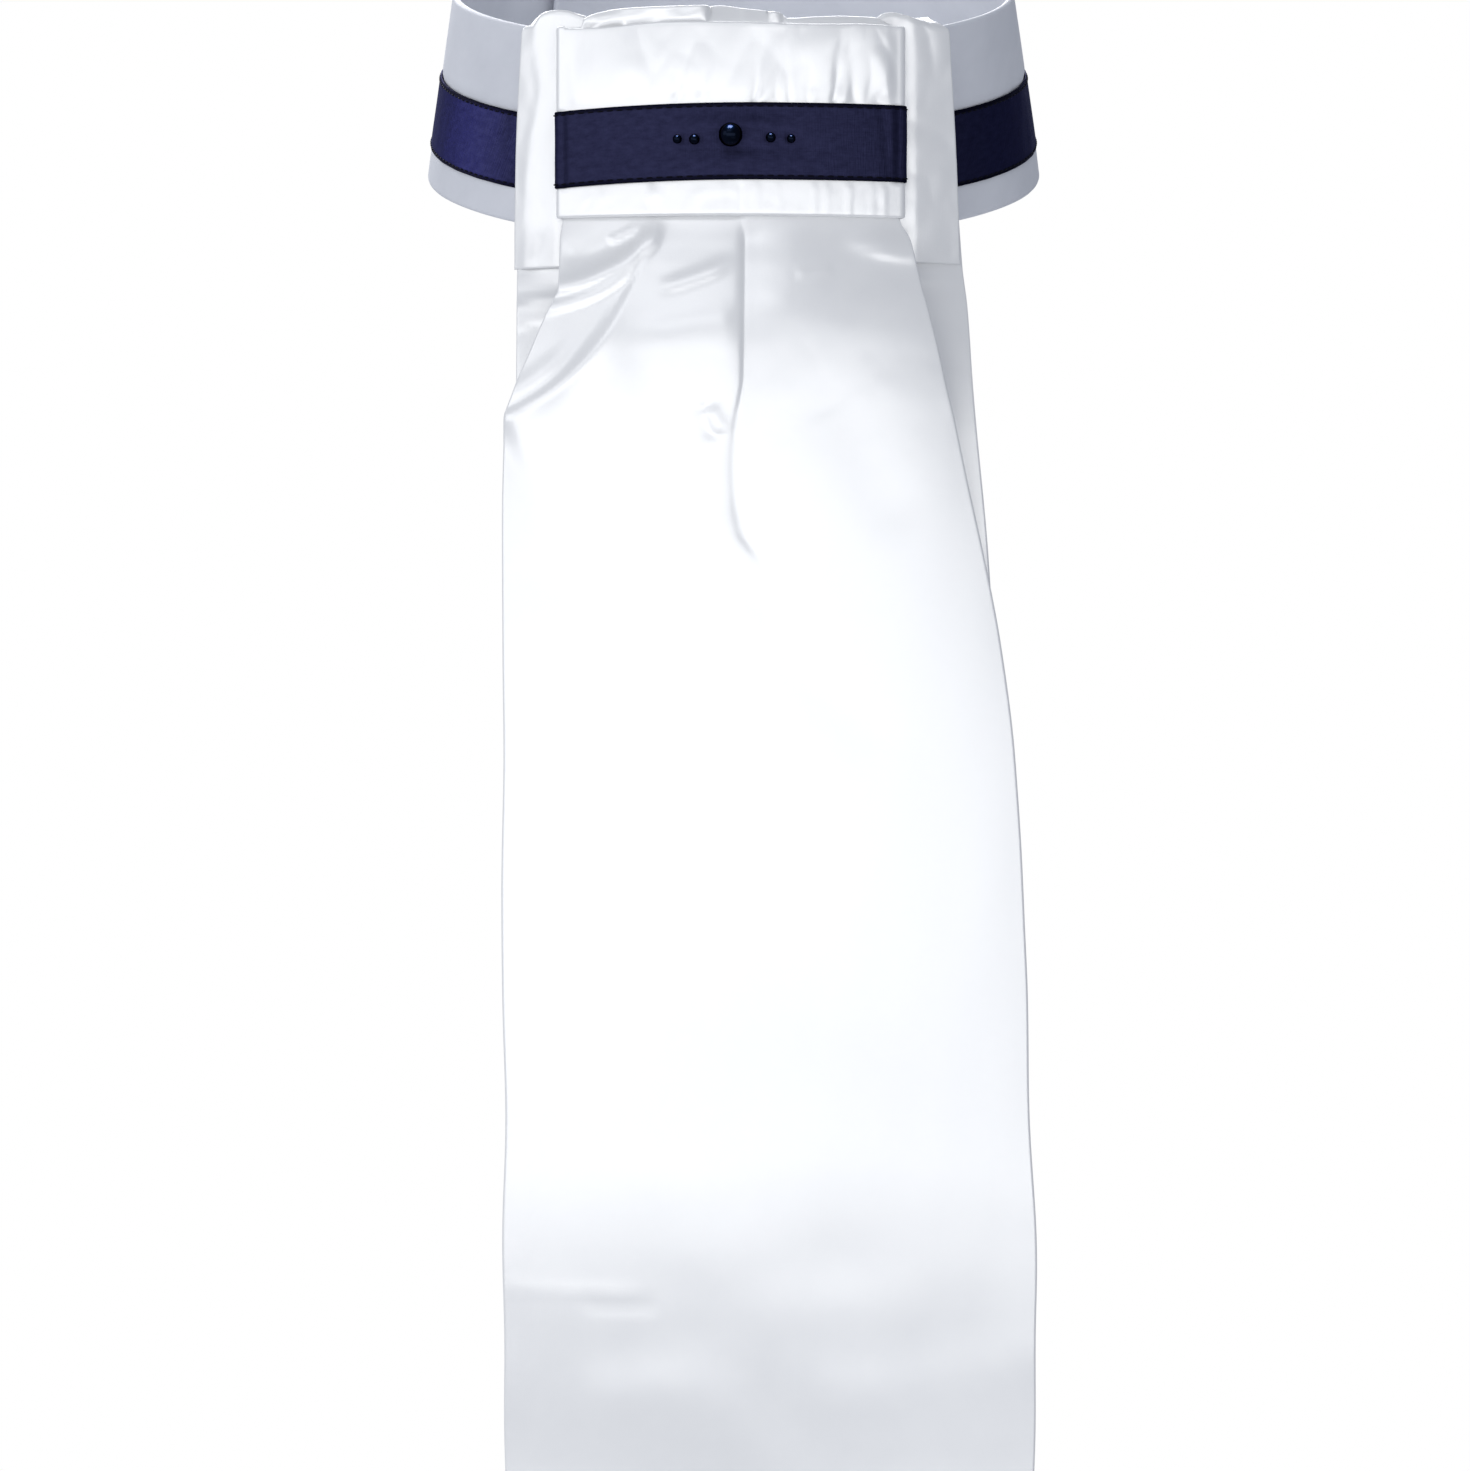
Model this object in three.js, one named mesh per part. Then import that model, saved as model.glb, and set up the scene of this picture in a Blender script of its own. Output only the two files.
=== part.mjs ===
// A ready-tied neck stock, worn shape, in millimetres. +Z is up, -Y is the front and +X is the wearer's left.
// The origin is the middle of the neck hole, halfway up the collar.
import * as THREE from 'three';

// Collar: a conical band that leans forward as it does on a neck, lapped at the back.
const COLLAR_HEIGHT = 41;
const COLLAR_TOP_RADIUS = 61.1;
const COLLAR_BOTTOM_RADIUS = 67.4;
const COLLAR_WALL = 1.6;
const COLLAR_TILT = 17.25;
const LAP_OUTER_ANGLE = -193;
const LAP_INNER_ANGLE = 221;
const LAP_RISE_ANGLE = 36;

// Closure: the hook-and-loop patch between the two laps.
const PATCH_HEIGHT = 22;
const PATCH_WALL = 1.8;
const PATCH_MARGIN = 4;

// Ribbon, the same on the collar and on the cross bar.
const RIBBON_WIDTH = 16;
const RIBBON_WALL = 1;
const RIBBON_MARGIN = 7.4;

// Gap that every piece keeps to the next one.
const CLEARANCE = 0.3;

// Front pieces follow a plan curve this many times flatter than the collar.
const FRONT_FLATNESS = 1.5;

// Flap: hooks over the collar's top edge and hangs in front of it.
const FLAP_HEM_WIDTH = 93;
const FLAP_TOP_WIDTH = 89.3;
const FLAP_WALL = 1;
const FLAP_SHIFT = 0.6;
const FLAP_HEM_DROP = 5.55;
const FLAP_OVER_WIDTH = 82;
const FLAP_ROLL_HEIGHT = 0.5;
const FLAP_TOP_RISE = 2.8;
const FLAP_INNER_LENGTH = 17;

// Cross bar: a short band over the tail, its ends turned in behind it.
const BAR_WIDTH = 72.4;
const BAR_HEIGHT = 40;
const BAR_WALL = 1.1;
const BAR_SHIFT = -0.6;
const BAR_RISE = 3.35;
const BAR_TURN_IN = 7;
const BAR_RIBBON_DROP = 0.85;

// Front tail: gathered inside the bar, spreading below it.
const TAIL_WIDTH = 110.6;
const TAIL_SHIFT = 7.7;
const TAIL_WALL = 1.2;
const TAIL_LENGTH = 280;
const TAIL_PEEK = 3.9;
const TAIL_BELLY = 8;

// Back tail: starts behind the flap and hangs behind the front tail.
const BACK_TAIL_WIDTH = 104;
const BACK_TAIL_SHIFT = 7;
const BACK_TAIL_WALL = 1;
const BACK_TAIL_TUCK = 33;
const BACK_TAIL_LENGTH = 255;
const BACK_TAIL_FOLLOW = 0.5;

// Beads sewn to the bar's ribbon: distance along the bar, diameter, and height over the ribbon's middle.
const BEAD_BORE_RADIUS = 0.3;
const BEADS = [
  { name: 'bead_outer_left', along: -10.9, diameter: 1.9, lift: 0.2 },
  { name: 'bead_inner_left', along: -7.4, diameter: 2.2, lift: 0.1 },
  { name: 'bead_centre', along: 0, diameter: 5, lift: 0.9 },
  { name: 'bead_inner_right', along: 8.2, diameter: 2.1, lift: 0.5 },
  { name: 'bead_outer_right', along: 12.4, diameter: 1.8, lift: 0.3 },
];

// Front tail's edges: drop is a share of TAIL_LENGTH, left and right are shares of the way from the bar's
// width to the full width.
const TAIL_SPREAD = [
  { drop: 0, left: 0, right: 0 },
  { drop: 0.011, left: 0.11, right: 0.07 },
  { drop: 0.056, left: 0.15, right: 0.2 },
  { drop: 0.068, left: 0.37, right: 0.23 },
  { drop: 0.1, left: 0.63, right: 0.29 },
  { drop: 0.146, left: 0.98, right: 0.4 },
  { drop: 0.211, left: 1.04, right: 0.52 },
  { drop: 0.263, left: 1.03, right: 0.63 },
  { drop: 0.322, left: 1, right: 0.72 },
  { drop: 0.396, left: 1, right: 0.835 },
  { drop: 0.53, left: 0.97, right: 0.91 },
  { drop: 0.73, left: 0.97, right: 0.99 },
  { drop: 1, left: 1, right: 1 },
];

// Front tail's top edge, seen above the bar: across runs from edge to edge, rise is a share of TAIL_PEEK.
const TAIL_TOP = [
  { across: 0, rise: -0.3 },
  { across: 0.055, rise: 0.2 },
  { across: 0.1, rise: 0.73 },
  { across: 0.16, rise: 0.92 },
  { across: 0.42, rise: 1 },
  { across: 0.5, rise: 0.9 },
  { across: 0.62, rise: 0.6 },
  { across: 0.65, rise: 0.35 },
  { across: 0.83, rise: 0.5 },
  { across: 0.94, rise: 0.45 },
  { across: 1, rise: -0.3 },
];

// How far the front tail stands forward, as a share of TAIL_BELLY, and how much of the plan curve it keeps.
const TAIL_HANG = [
  { drop: 0, forward: 0, curve: 1 },
  { drop: 0.015, forward: 0.1, curve: 0.95 },
  { drop: 0.04, forward: 0.4, curve: 0.9 },
  { drop: 0.07, forward: 0.7, curve: 0.82 },
  { drop: 0.1, forward: 0.86, curve: 0.76 },
  { drop: 0.14, forward: 0.94, curve: 0.68 },
  { drop: 0.22, forward: 0.98, curve: 0.56 },
  { drop: 0.4, forward: 1, curve: 0.42 },
  { drop: 0.7, forward: 1, curve: 0.32 },
  { drop: 0.8, forward: 0.85, curve: 0.28 },
  { drop: 0.9, forward: 0.45, curve: 0.26 },
  { drop: 1, forward: -0.1, curve: 0.25 },
];

// Back tail's edges, as shares of half of BACK_TAIL_WIDTH.
const BACK_TAIL_SPREAD = [
  { drop: 0, left: -1.008, right: 0.79 },
  { drop: 0.11, left: -1.008, right: 0.833 },
  { drop: 0.25, left: -1.005, right: 0.892 },
  { drop: 0.6, left: -1, right: 0.97 },
  { drop: 1, left: -1, right: 1 },
];

// Folds of the front tail. Each end is a share across the full width and a share of TAIL_LENGTH down from
// the bar. bow bends a fold sideways by a share of its length; rise and width are shares of TAIL_WIDTH.
const TAIL_FOLDS = [
  { name: 'centre pleat', from: [0.448, -0.09], to: [0.432, 0.19], bow: 0, rise: -0.009, width: 0.016 },
  { name: 'pleat foot', from: [0.432, 0.17], to: [0.485, 0.32], bow: -0.12, rise: -0.009, width: 0.02 },
  { name: 'left drape', from: [0.29, 0], to: [0.01, 0.158], bow: 0.12, rise: -0.008, width: 0.025 },
  { name: 'pinch', from: [0.28, 0.002], to: [0.1, 0.056], bow: 0.1, rise: 0.012, width: 0.02 },
  { name: 'middle streak', from: [0.3, 0.055], to: [0.41, 0.035], bow: 0, rise: 0.007, width: 0.02 },
  { name: 'right tuck', from: [0.6, 0.045], to: [0.78, 0.03], bow: -0.05, rise: 0.009, width: 0.025 },
  { name: 'lower swell', from: [0.03, 0.83], to: [0.5, 0.84], bow: 0, rise: -0.008, width: 0.05 },
  { name: 'lower roll', from: [0.35, 0.9], to: [1.02, 0.86], bow: 0.03, rise: 0.01, width: 0.07 },
];

// Gathers of the bar: across is a share of its width, rise and width are shares of BAR_HEIGHT.
const BAR_GATHERS = [
  { across: 0.26, rise: 0.012, width: 0.05 },
  { across: 0.4, rise: 0.016, width: 0.06 },
  { across: 0.58, rise: 0.02, width: 0.05 },
  { across: 0.7, rise: 0.016, width: 0.05 },
  { across: 0.82, rise: 0.024, width: 0.06 },
];

// Ribs down the flap's two side strips, all columns as shares of the flap's width.
const FLAP_RIBS = [
  { across: 0.045, rise: 0.011, width: 0.016 },
  { across: 0.95, rise: 0.008, width: 0.018 },
];

// Flap's front edge over the collar: rise is a share of FLAP_TOP_RISE over the collar's own edge.
const FLAP_TOP = [
  { across: 0, rise: -1 },
  { across: 0.028, rise: -0.86 },
  { across: 0.045, rise: 0.1 },
  { across: 0.09, rise: 0.7 },
  { across: 0.135, rise: 0.6 },
  { across: 0.2, rise: 0 },
  { across: 0.8, rise: 0 },
  { across: 0.845, rise: 0.8 },
  { across: 0.9, rise: 0.2 },
  { across: 0.95, rise: -0.8 },
  { across: 1, rise: -1.2 },
];

const tilt = THREE.MathUtils.degToRad(COLLAR_TILT);
const tiltCos = Math.cos(tilt);
const tiltSin = Math.sin(tilt);
const frontRadius = COLLAR_BOTTOM_RADIUS * FRONT_FLATNESS;

const materials = {
  satin: new THREE.MeshStandardMaterial({ color: 0xf4f6fa, roughness: 0.42, metalness: 0 }),
  collarCloth: new THREE.MeshStandardMaterial({ color: 0xe4e7ee, roughness: 0.7, metalness: 0 }),
  ribbon: new THREE.MeshStandardMaterial({ color: 0x1d1f42, roughness: 0.45, metalness: 0 }),
  pearl: new THREE.MeshStandardMaterial({ color: 0x0a1020, roughness: 0.12, metalness: 0.1 }),
  hookTape: new THREE.MeshStandardMaterial({ color: 0xe9ebf0, roughness: 0.95, metalness: 0 }),
};

function steps(count, start = 0, end = 1) {
  return Array.from({ length: count + 1 }, (_, i) => start + ((end - start) * i) / count);
}

function readTable(table, key, at, column) {
  const next = table.findIndex((row) => row[key] >= at);
  if (next === 0 || at <= table[0][key]) return table[0][column];
  if (next < 0) return table[table.length - 1][column];
  const before = table[next - 1];
  const share = (at - before[key]) / (table[next][key] - before[key]);
  return before[column] + (table[next][column] - before[column]) * share;
}

// A closed wall. place(u, v) is its outer face, where us run left to right and vs run top to bottom.
function sheet(us, vs, wall, place) {
  const nudge = 1e-4;
  const lower = Math.sign(vs[vs.length - 1] - vs[0]) * nudge;
  const outer = [];
  const inner = [];
  for (const v of vs) {
    for (const u of us) {
      const point = place(u, v);
      const across = place(u + nudge, v).sub(place(u - nudge, v));
      const down = place(u, v + lower).sub(place(u, v - lower));
      const normal = down.cross(across).normalize();
      outer.push(point);
      inner.push(point.clone().addScaledVector(normal, -wall));
    }
  }
  const points = [...outer, ...inner];
  const columns = us.length;
  const rows = vs.length;
  const back = outer.length;
  const index = [];
  const quad = (a, b, c, d) => index.push(a, b, c, a, c, d);
  for (let row = 0; row < rows - 1; row += 1) {
    for (let column = 0; column < columns - 1; column += 1) {
      const a = row * columns + column;
      quad(a, a + columns, a + columns + 1, a + 1);
      quad(back + a, back + a + 1, back + a + columns + 1, back + a + columns);
    }
  }
  for (let column = 0; column < columns - 1; column += 1) {
    const low = (rows - 1) * columns + column;
    quad(column, column + 1, back + column + 1, back + column);
    quad(low + 1, low, back + low, back + low + 1);
  }
  for (let row = 0; row < rows - 1; row += 1) {
    const left = row * columns;
    const right = left + columns - 1;
    quad(left + columns, left, back + left, back + left + columns);
    quad(right, right + columns, back + right + columns, back + right);
  }
  const geometry = new THREE.BufferGeometry();
  geometry.setAttribute('position', new THREE.Float32BufferAttribute(points.flatMap((p) => p.toArray()), 3));
  geometry.setIndex(index);
  geometry.computeVertexNormals();
  return geometry;
}

function named(name, geometry, material) {
  const mesh = new THREE.Mesh(geometry, material);
  mesh.name = name;
  return mesh;
}

// Collar, in its own frame: height runs along the neck, angle is 0 at the front and grows towards +X.
function collarRadius(height) {
  const share = 0.5 - height / COLLAR_HEIGHT;
  return COLLAR_TOP_RADIUS + (COLLAR_BOTTOM_RADIUS - COLLAR_TOP_RADIUS) * share;
}

const slope = Math.atan((COLLAR_BOTTOM_RADIUS - COLLAR_TOP_RADIUS) / COLLAR_HEIGHT);
const lapStep = COLLAR_WALL + PATCH_WALL + 2 * CLEARANCE;
const innerLapAngle = LAP_INNER_ANGLE - 360;

function lapOffset(angle) {
  return lapStep * THREE.MathUtils.smoothstep(-angle, -innerLapAngle - LAP_RISE_ANGLE, -innerLapAngle);
}

function collarPlace(lift) {
  return (angle, height) => {
    const radius = collarRadius(height) + lapOffset(angle) + lift;
    const turn = THREE.MathUtils.degToRad(angle);
    return new THREE.Vector3(radius * Math.sin(turn), -radius * Math.cos(turn), height);
  };
}

function collarBand() {
  const angles = steps(84, LAP_OUTER_ANGLE, LAP_INNER_ANGLE);
  const heights = steps(3, COLLAR_HEIGHT / 2, -COLLAR_HEIGHT / 2);
  return sheet(angles, heights, COLLAR_WALL, collarPlace(0));
}

const ribbonLow = -COLLAR_HEIGHT / 2 + RIBBON_MARGIN * Math.cos(slope);
const ribbonHigh = ribbonLow + RIBBON_WIDTH * Math.cos(slope);
const ribbonLift = CLEARANCE + RIBBON_WALL;

function collarRibbon() {
  const setBack = 1.5;
  const angles = steps(72, LAP_OUTER_ANGLE + setBack, LAP_OUTER_ANGLE + 360 - setBack);
  return sheet(angles, steps(2, ribbonHigh, ribbonLow), RIBBON_WALL, collarPlace(ribbonLift));
}

function closurePatch() {
  const margin = THREE.MathUtils.radToDeg(PATCH_MARGIN / COLLAR_TOP_RADIUS);
  const angles = steps(10, LAP_OUTER_ANGLE + 360 + margin, LAP_INNER_ANGLE - margin);
  const heights = steps(2, PATCH_HEIGHT / 2, -PATCH_HEIGHT / 2);
  return sheet(angles, heights, PATCH_WALL, collarPlace(CLEARANCE + PATCH_WALL));
}

// Places of the leaning collar as seen in the upright frame, at a distance x from the middle.
function collarFront(x, height, lift) {
  const radius = collarRadius(height) + lift;
  const forward = Math.sqrt(radius * radius - x * x);
  return { forward: forward * tiltCos + height * tiltSin, z: -forward * tiltSin + height * tiltCos };
}

// Each layer of the front, as its distance forward of the neck's middle at x = 0.
const half = COLLAR_HEIGHT / 2;
const collarReach = Math.max(
  collarFront(0, half, 0).forward,
  collarFront(0, ribbonHigh, ribbonLift).forward,
  collarFront(0, ribbonLow, ribbonLift).forward,
);
const backTailFront = collarReach + CLEARANCE + BACK_TAIL_WALL;
const flapFront = backTailFront + CLEARANCE + FLAP_WALL;
const barInnerFront = flapFront + CLEARANCE + BAR_WALL;
const tailFront = barInnerFront + CLEARANCE + TAIL_WALL;
const barFront = tailFront + CLEARANCE + BAR_WALL;
const barRibbonFront = barFront + CLEARANCE + RIBBON_WALL;

const collarTopZ = collarFront(0, half, 0).z;
const collarBottomZ = collarFront(0, -half, 0).z;
const hemZ = collarBottomZ - FLAP_HEM_DROP;
const barTopZ = collarTopZ + BAR_RISE;
const barBottomZ = barTopZ - BAR_HEIGHT;

// How far a point beside the middle of a front layer falls back.
function planDepth(x) {
  return frontRadius - Math.sqrt(frontRadius * frontRadius - x * x);
}

function bump(distance, width) {
  return Math.exp(-((distance / width) ** 2));
}

function flapPlace(u, v) {
  const over = THREE.MathUtils.smoothstep(v, 1, 1.4);
  const face = FLAP_HEM_WIDTH + (FLAP_TOP_WIDTH - FLAP_HEM_WIDTH) * Math.min(v, 1);
  const x = (u - 0.5) * (face + (FLAP_OVER_WIDTH - FLAP_TOP_WIDTH) * over) + FLAP_SHIFT;
  const inside = collarFront(x, half, -COLLAR_WALL - CLEARANCE - FLAP_WALL);
  const springZ = inside.z + CLEARANCE;
  const topZ = springZ + FLAP_TOP_RISE * readTable(FLAP_TOP, 'across', u, 'rise');
  const front = flapFront - planDepth(x);
  const ribs = FLAP_RIBS.reduce((sum, rib) => sum + rib.rise * bump(u - rib.across, rib.width), 0);
  if (v <= 1) {
    const share = Math.max(v, 0);
    const z = hemZ + (topZ - hemZ) * v;
    const relief = ribs * FLAP_HEM_WIDTH * Math.sin(Math.PI * (0.12 + 0.76 * share));
    return new THREE.Vector3(x, -front - relief, z);
  }
  const ease = 1 - 0.5 * Math.abs(2 * u - 1) ** 6;
  const roll = (FLAP_ROLL_HEIGHT + FLAP_WALL) * ease;
  if (v <= 2) {
    const turn = Math.PI * (v - 1);
    const middle = (front + inside.forward) / 2;
    const reach = (front - inside.forward) / 2;
    const level = topZ + (springZ - topZ) * THREE.MathUtils.smoothstep(v, 1, 1.6);
    return new THREE.Vector3(x, -middle - reach * Math.cos(turn), level + roll * Math.sin(turn));
  }
  const down = FLAP_INNER_LENGTH * (v - 2);
  return new THREE.Vector3(x, -inside.forward + down * Math.tan(tilt - slope), springZ - down);
}

function frontFlap() {
  const climb = [...steps(4), ...steps(7, 1, 2).slice(1), 2.5, 3];
  const across = [...FLAP_TOP.map((row) => row.across), ...steps(10, 0.26, 0.74)];
  across.sort((a, b) => a - b);
  return sheet(across, climb.reverse(), FLAP_WALL, flapPlace);
}

// Cross bar: a path in plan, u from -1 to 1 over the front, its ends turned in by half circles beyond that.
const barTurnRadius = (barFront - barInnerFront + BAR_WALL) / 2;
const barFlat = BAR_WIDTH / 2 - barTurnRadius;

function barPath(u, lift) {
  const side = Math.sign(u);
  const beyond = Math.abs(u) - 1;
  const radius = barTurnRadius + lift;
  if (beyond <= 0) {
    const x = u * barFlat + BAR_SHIFT;
    return { x, forward: barFront + lift - planDepth(x) };
  }
  const edge = side * barFlat + BAR_SHIFT;
  const centre = barFront - barTurnRadius - planDepth(edge);
  const lean = Math.asin(edge / frontRadius) * side;
  const turned = Math.min(beyond, 1) * Math.PI + lean;
  const x = edge + side * radius * Math.sin(turned);
  const forward = centre + radius * Math.cos(turned);
  const inward = Math.max(beyond - 1, 0) * BAR_TURN_IN;
  return { x: x - side * inward * Math.cos(lean), forward: forward + inward * Math.sin(lean) };
}

function barPlace(u, v) {
  const { x, forward } = barPath(u, 0);
  const across = (u + 1) / 2;
  const upper = Math.sin(Math.PI * THREE.MathUtils.clamp(v / 0.42, 0, 1));
  const gathers = BAR_GATHERS.reduce((sum, g) => sum + g.rise * bump(across - g.across, g.width), 0);
  return new THREE.Vector3(x, -forward - gathers * BAR_HEIGHT * upper, barTopZ - v * BAR_HEIGHT);
}

function crossBar() {
  const turn = steps(4, 1, 2);
  const right = [...turn, 3];
  const left = right.map((u) => -u).reverse();
  return sheet([...left, ...steps(22, -1, 1).slice(1, -1), ...right], steps(7), BAR_WALL, barPlace);
}

const ribbonMiddleZ = barBottomZ + RIBBON_MARGIN + RIBBON_WIDTH / 2;

function barRibbonZ(u) {
  return ribbonMiddleZ - BAR_RIBBON_DROP * Math.max(0, 0.2 - Math.max(u, -1)) ** 2;
}

function barRibbon() {
  const lift = barRibbonFront - barFront;
  const wrapped = 1.5;
  const us = [-wrapped, -1.25, ...steps(22, -1, 1), 1.25, wrapped];
  return sheet(us, [0.5, 0, -0.5], RIBBON_WALL, (u, v) => {
    const { x, forward } = barPath(u, lift);
    return new THREE.Vector3(x, -forward, barRibbonZ(u) + v * RIBBON_WIDTH);
  });
}

// Distance from a point to a bowed fold, and how strong the fold is there; lengths are in millimetres.
function foldAt(fold, x, down) {
  const left = TAIL_SHIFT - TAIL_WIDTH / 2;
  const ends = [fold.from, fold.to].map(([across, drop]) => [left + across * TAIL_WIDTH, drop * TAIL_LENGTH]);
  const along = [ends[1][0] - ends[0][0], ends[1][1] - ends[0][1]];
  const length = Math.hypot(...along);
  const [dx, dz] = [x - ends[0][0], down - ends[0][1]];
  const share = (dx * along[0] + dz * along[1]) / (length * length);
  const inside = THREE.MathUtils.clamp(share, 0, 1);
  const side = (dz * along[0] - dx * along[1]) / length - fold.bow * length * 4 * inside * (1 - inside);
  const fadeIn = THREE.MathUtils.smoothstep(share, -0.08, 0.1);
  const fade = fadeIn * (1 - THREE.MathUtils.smoothstep(share, 0.88, 1.12));
  return fold.rise * TAIL_WIDTH * fade * bump(side, fold.width * TAIL_WIDTH);
}

function tailEdge(side, drop) {
  const inBar = side * (BAR_WIDTH / 2 - BAR_WALL - CLEARANCE) + BAR_SHIFT;
  const full = TAIL_SHIFT + (side * TAIL_WIDTH) / 2;
  const spread = readTable(TAIL_SPREAD, 'drop', drop, side < 0 ? 'left' : 'right');
  return inBar + (full - inBar) * spread;
}

function hangForward(drop) {
  return TAIL_BELLY * readTable(TAIL_HANG, 'drop', drop, 'forward');
}

function hangDepth(x, drop) {
  return planDepth(x) * readTable(TAIL_HANG, 'drop', drop, 'curve');
}

function tailPlace(u, v) {
  const across = THREE.MathUtils.clamp(u, 0, 1);
  const peak = barTopZ + TAIL_PEEK * readTable(TAIL_TOP, 'across', across, 'rise');
  const z = v < 0 ? barBottomZ - v * (peak - barBottomZ) : barBottomZ - v * TAIL_LENGTH;
  const drop = Math.max(v, 0);
  const x = tailEdge(-1, drop) * (1 - u) + tailEdge(1, drop) * u;
  const down = barBottomZ - z;
  const open = THREE.MathUtils.smoothstep(down, 0, BAR_HEIGHT / 4);
  const relief = TAIL_FOLDS.reduce((sum, fold) => sum + foldAt(fold, x, down), 0) * open;
  return new THREE.Vector3(x, -tailFront - hangForward(drop) + hangDepth(x, drop) - relief, z);
}

function frontTail() {
  const rows = [...steps(4, -1, 0), ...steps(20, 0, 0.33).slice(1), ...steps(12, 0.33, 1).slice(1)];
  return sheet(steps(24), rows, TAIL_WALL, tailPlace);
}

function backTailPlace(u, v) {
  const z = hemZ + BACK_TAIL_TUCK - v * (BACK_TAIL_TUCK + BACK_TAIL_LENGTH);
  const drop = THREE.MathUtils.clamp((hemZ - z) / BACK_TAIL_LENGTH, 0, 1);
  const reach = BACK_TAIL_WIDTH / 2;
  const left = BACK_TAIL_SHIFT + readTable(BACK_TAIL_SPREAD, 'drop', drop, 'left') * reach;
  const right = BACK_TAIL_SHIFT + readTable(BACK_TAIL_SPREAD, 'drop', drop, 'right') * reach;
  const x = left * (1 - u) + right * u;
  const forward = BACK_TAIL_FOLLOW * hangForward(drop);
  return new THREE.Vector3(x, -backTailFront - forward + hangDepth(x, drop), z);
}

function backTail() {
  const tuck = BACK_TAIL_TUCK / (BACK_TAIL_TUCK + BACK_TAIL_LENGTH);
  const rows = [...steps(3, 0, tuck), ...steps(16, tuck, 1).slice(1)];
  return sheet(steps(16), rows, BACK_TAIL_WALL, backTailPlace);
}

// A round bead with a bore along X, its back just clear of the ribbon.
function bead({ name, along, diameter, lift }) {
  const radius = diameter / 2;
  const open = Math.asin(BEAD_BORE_RADIUS / radius);
  const turns = steps(8, open, Math.PI - open);
  const profile = turns.map((turn) => new THREE.Vector2(radius * Math.sin(turn), -radius * Math.cos(turn)));
  profile.push(profile[0].clone());
  const geometry = new THREE.LatheGeometry(profile, 14);
  const mesh = named(name, geometry, materials.pearl);
  const x = along + BAR_SHIFT;
  const normal = new THREE.Vector3(x / frontRadius, -Math.sqrt(1 - (x / frontRadius) ** 2), 0);
  const seat = new THREE.Vector3(x, -barRibbonFront + planDepth(x), ribbonMiddleZ + lift);
  mesh.position.copy(seat.addScaledVector(normal, radius + CLEARANCE));
  mesh.rotation.z = Math.PI / 2 + Math.asin(x / frontRadius);
  return mesh;
}

const collar = new THREE.Group();
collar.add(named('collar_band', collarBand(), materials.collarCloth));
collar.add(named('collar_ribbon', collarRibbon(), materials.ribbon));
collar.add(named('closure_patch', closurePatch(), materials.hookTape));
collar.rotation.x = tilt;

const stock = new THREE.Group();
stock.add(collar);
stock.add(named('front_flap', frontFlap(), materials.satin));
stock.add(named('back_tail', backTail(), materials.satin));
stock.add(named('front_tail', frontTail(), materials.satin));
stock.add(named('cross_bar', crossBar(), materials.satin));
stock.add(named('bar_ribbon', barRibbon(), materials.ribbon));
BEADS.forEach((row) => stock.add(bead(row)));

export default stock;
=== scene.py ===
import math

import bpy
import numpy as np
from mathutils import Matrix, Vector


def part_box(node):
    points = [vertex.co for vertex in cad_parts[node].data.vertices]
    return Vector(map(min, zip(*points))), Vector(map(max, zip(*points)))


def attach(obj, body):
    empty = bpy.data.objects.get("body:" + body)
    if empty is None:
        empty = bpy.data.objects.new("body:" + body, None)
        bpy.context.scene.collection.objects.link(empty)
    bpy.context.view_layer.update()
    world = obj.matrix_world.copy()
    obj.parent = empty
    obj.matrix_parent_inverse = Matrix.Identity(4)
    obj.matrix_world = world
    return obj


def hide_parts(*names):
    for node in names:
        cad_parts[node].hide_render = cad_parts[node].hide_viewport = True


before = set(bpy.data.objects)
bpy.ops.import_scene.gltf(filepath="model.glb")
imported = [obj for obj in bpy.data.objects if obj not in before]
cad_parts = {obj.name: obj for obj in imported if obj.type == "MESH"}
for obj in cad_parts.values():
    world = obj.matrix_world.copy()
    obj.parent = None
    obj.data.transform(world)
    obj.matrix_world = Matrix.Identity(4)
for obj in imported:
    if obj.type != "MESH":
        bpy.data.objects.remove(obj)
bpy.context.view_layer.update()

MM = 0.001


def corner(node, end, axis):
    """One side of a CAD node's box in millimetres."""
    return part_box(node)[end][axis] / MM


def table(columns, *rows):
    """A table's rows, each with a value under every column's name."""
    return [dict(zip(columns.split(), row)) for row in rows]


# Collar: the leaning cone that the CAD solids follow.
COLLAR_HEIGHT = 41
COLLAR_TOP_RADIUS = 61.1
COLLAR_BOTTOM_RADIUS = 67.4
COLLAR_WALL = 1.6
COLLAR_TILT = math.radians(17.25)
LAP_OUTER = -193
LAP_INNER = 221
LAP_RISE = 36
LAP_STEP = 4
PATCH_HEIGHT = 22
PATCH_MARGIN = 4
PATCH_WALL = 1.3
GAP = 0.3
PATCH_CENTRE = GAP + 0.85
CHANNEL_DEPTH = 0.5

# Ribbons and their stitches. The collar's ribbon sinks a little into the collar that it is sewn on, and the
# bar's ribbon bites into the bar where it turns round the ends. The border is the darker part beside a
# ribbon's edge, from its middle.
RIBBON_WIDTH = 16
RIBBON_MARGIN = 7.4
RIBBON_WALL = 0.55
RIBBON_SINK = 0.2
RIBBON_BITE = 0.35
RIBBON_START = LAP_OUTER + 1.5
RIBBON_TURN = 357
RIBBON_BORDER = (6.8, 7.5)
STITCH_INSET = 0.8
STITCH_STEP = 2.1
STITCH_SHARE = 0.72
STITCH_RADIUS = 0.16
STITCH_LIFT = 0.06

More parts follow.
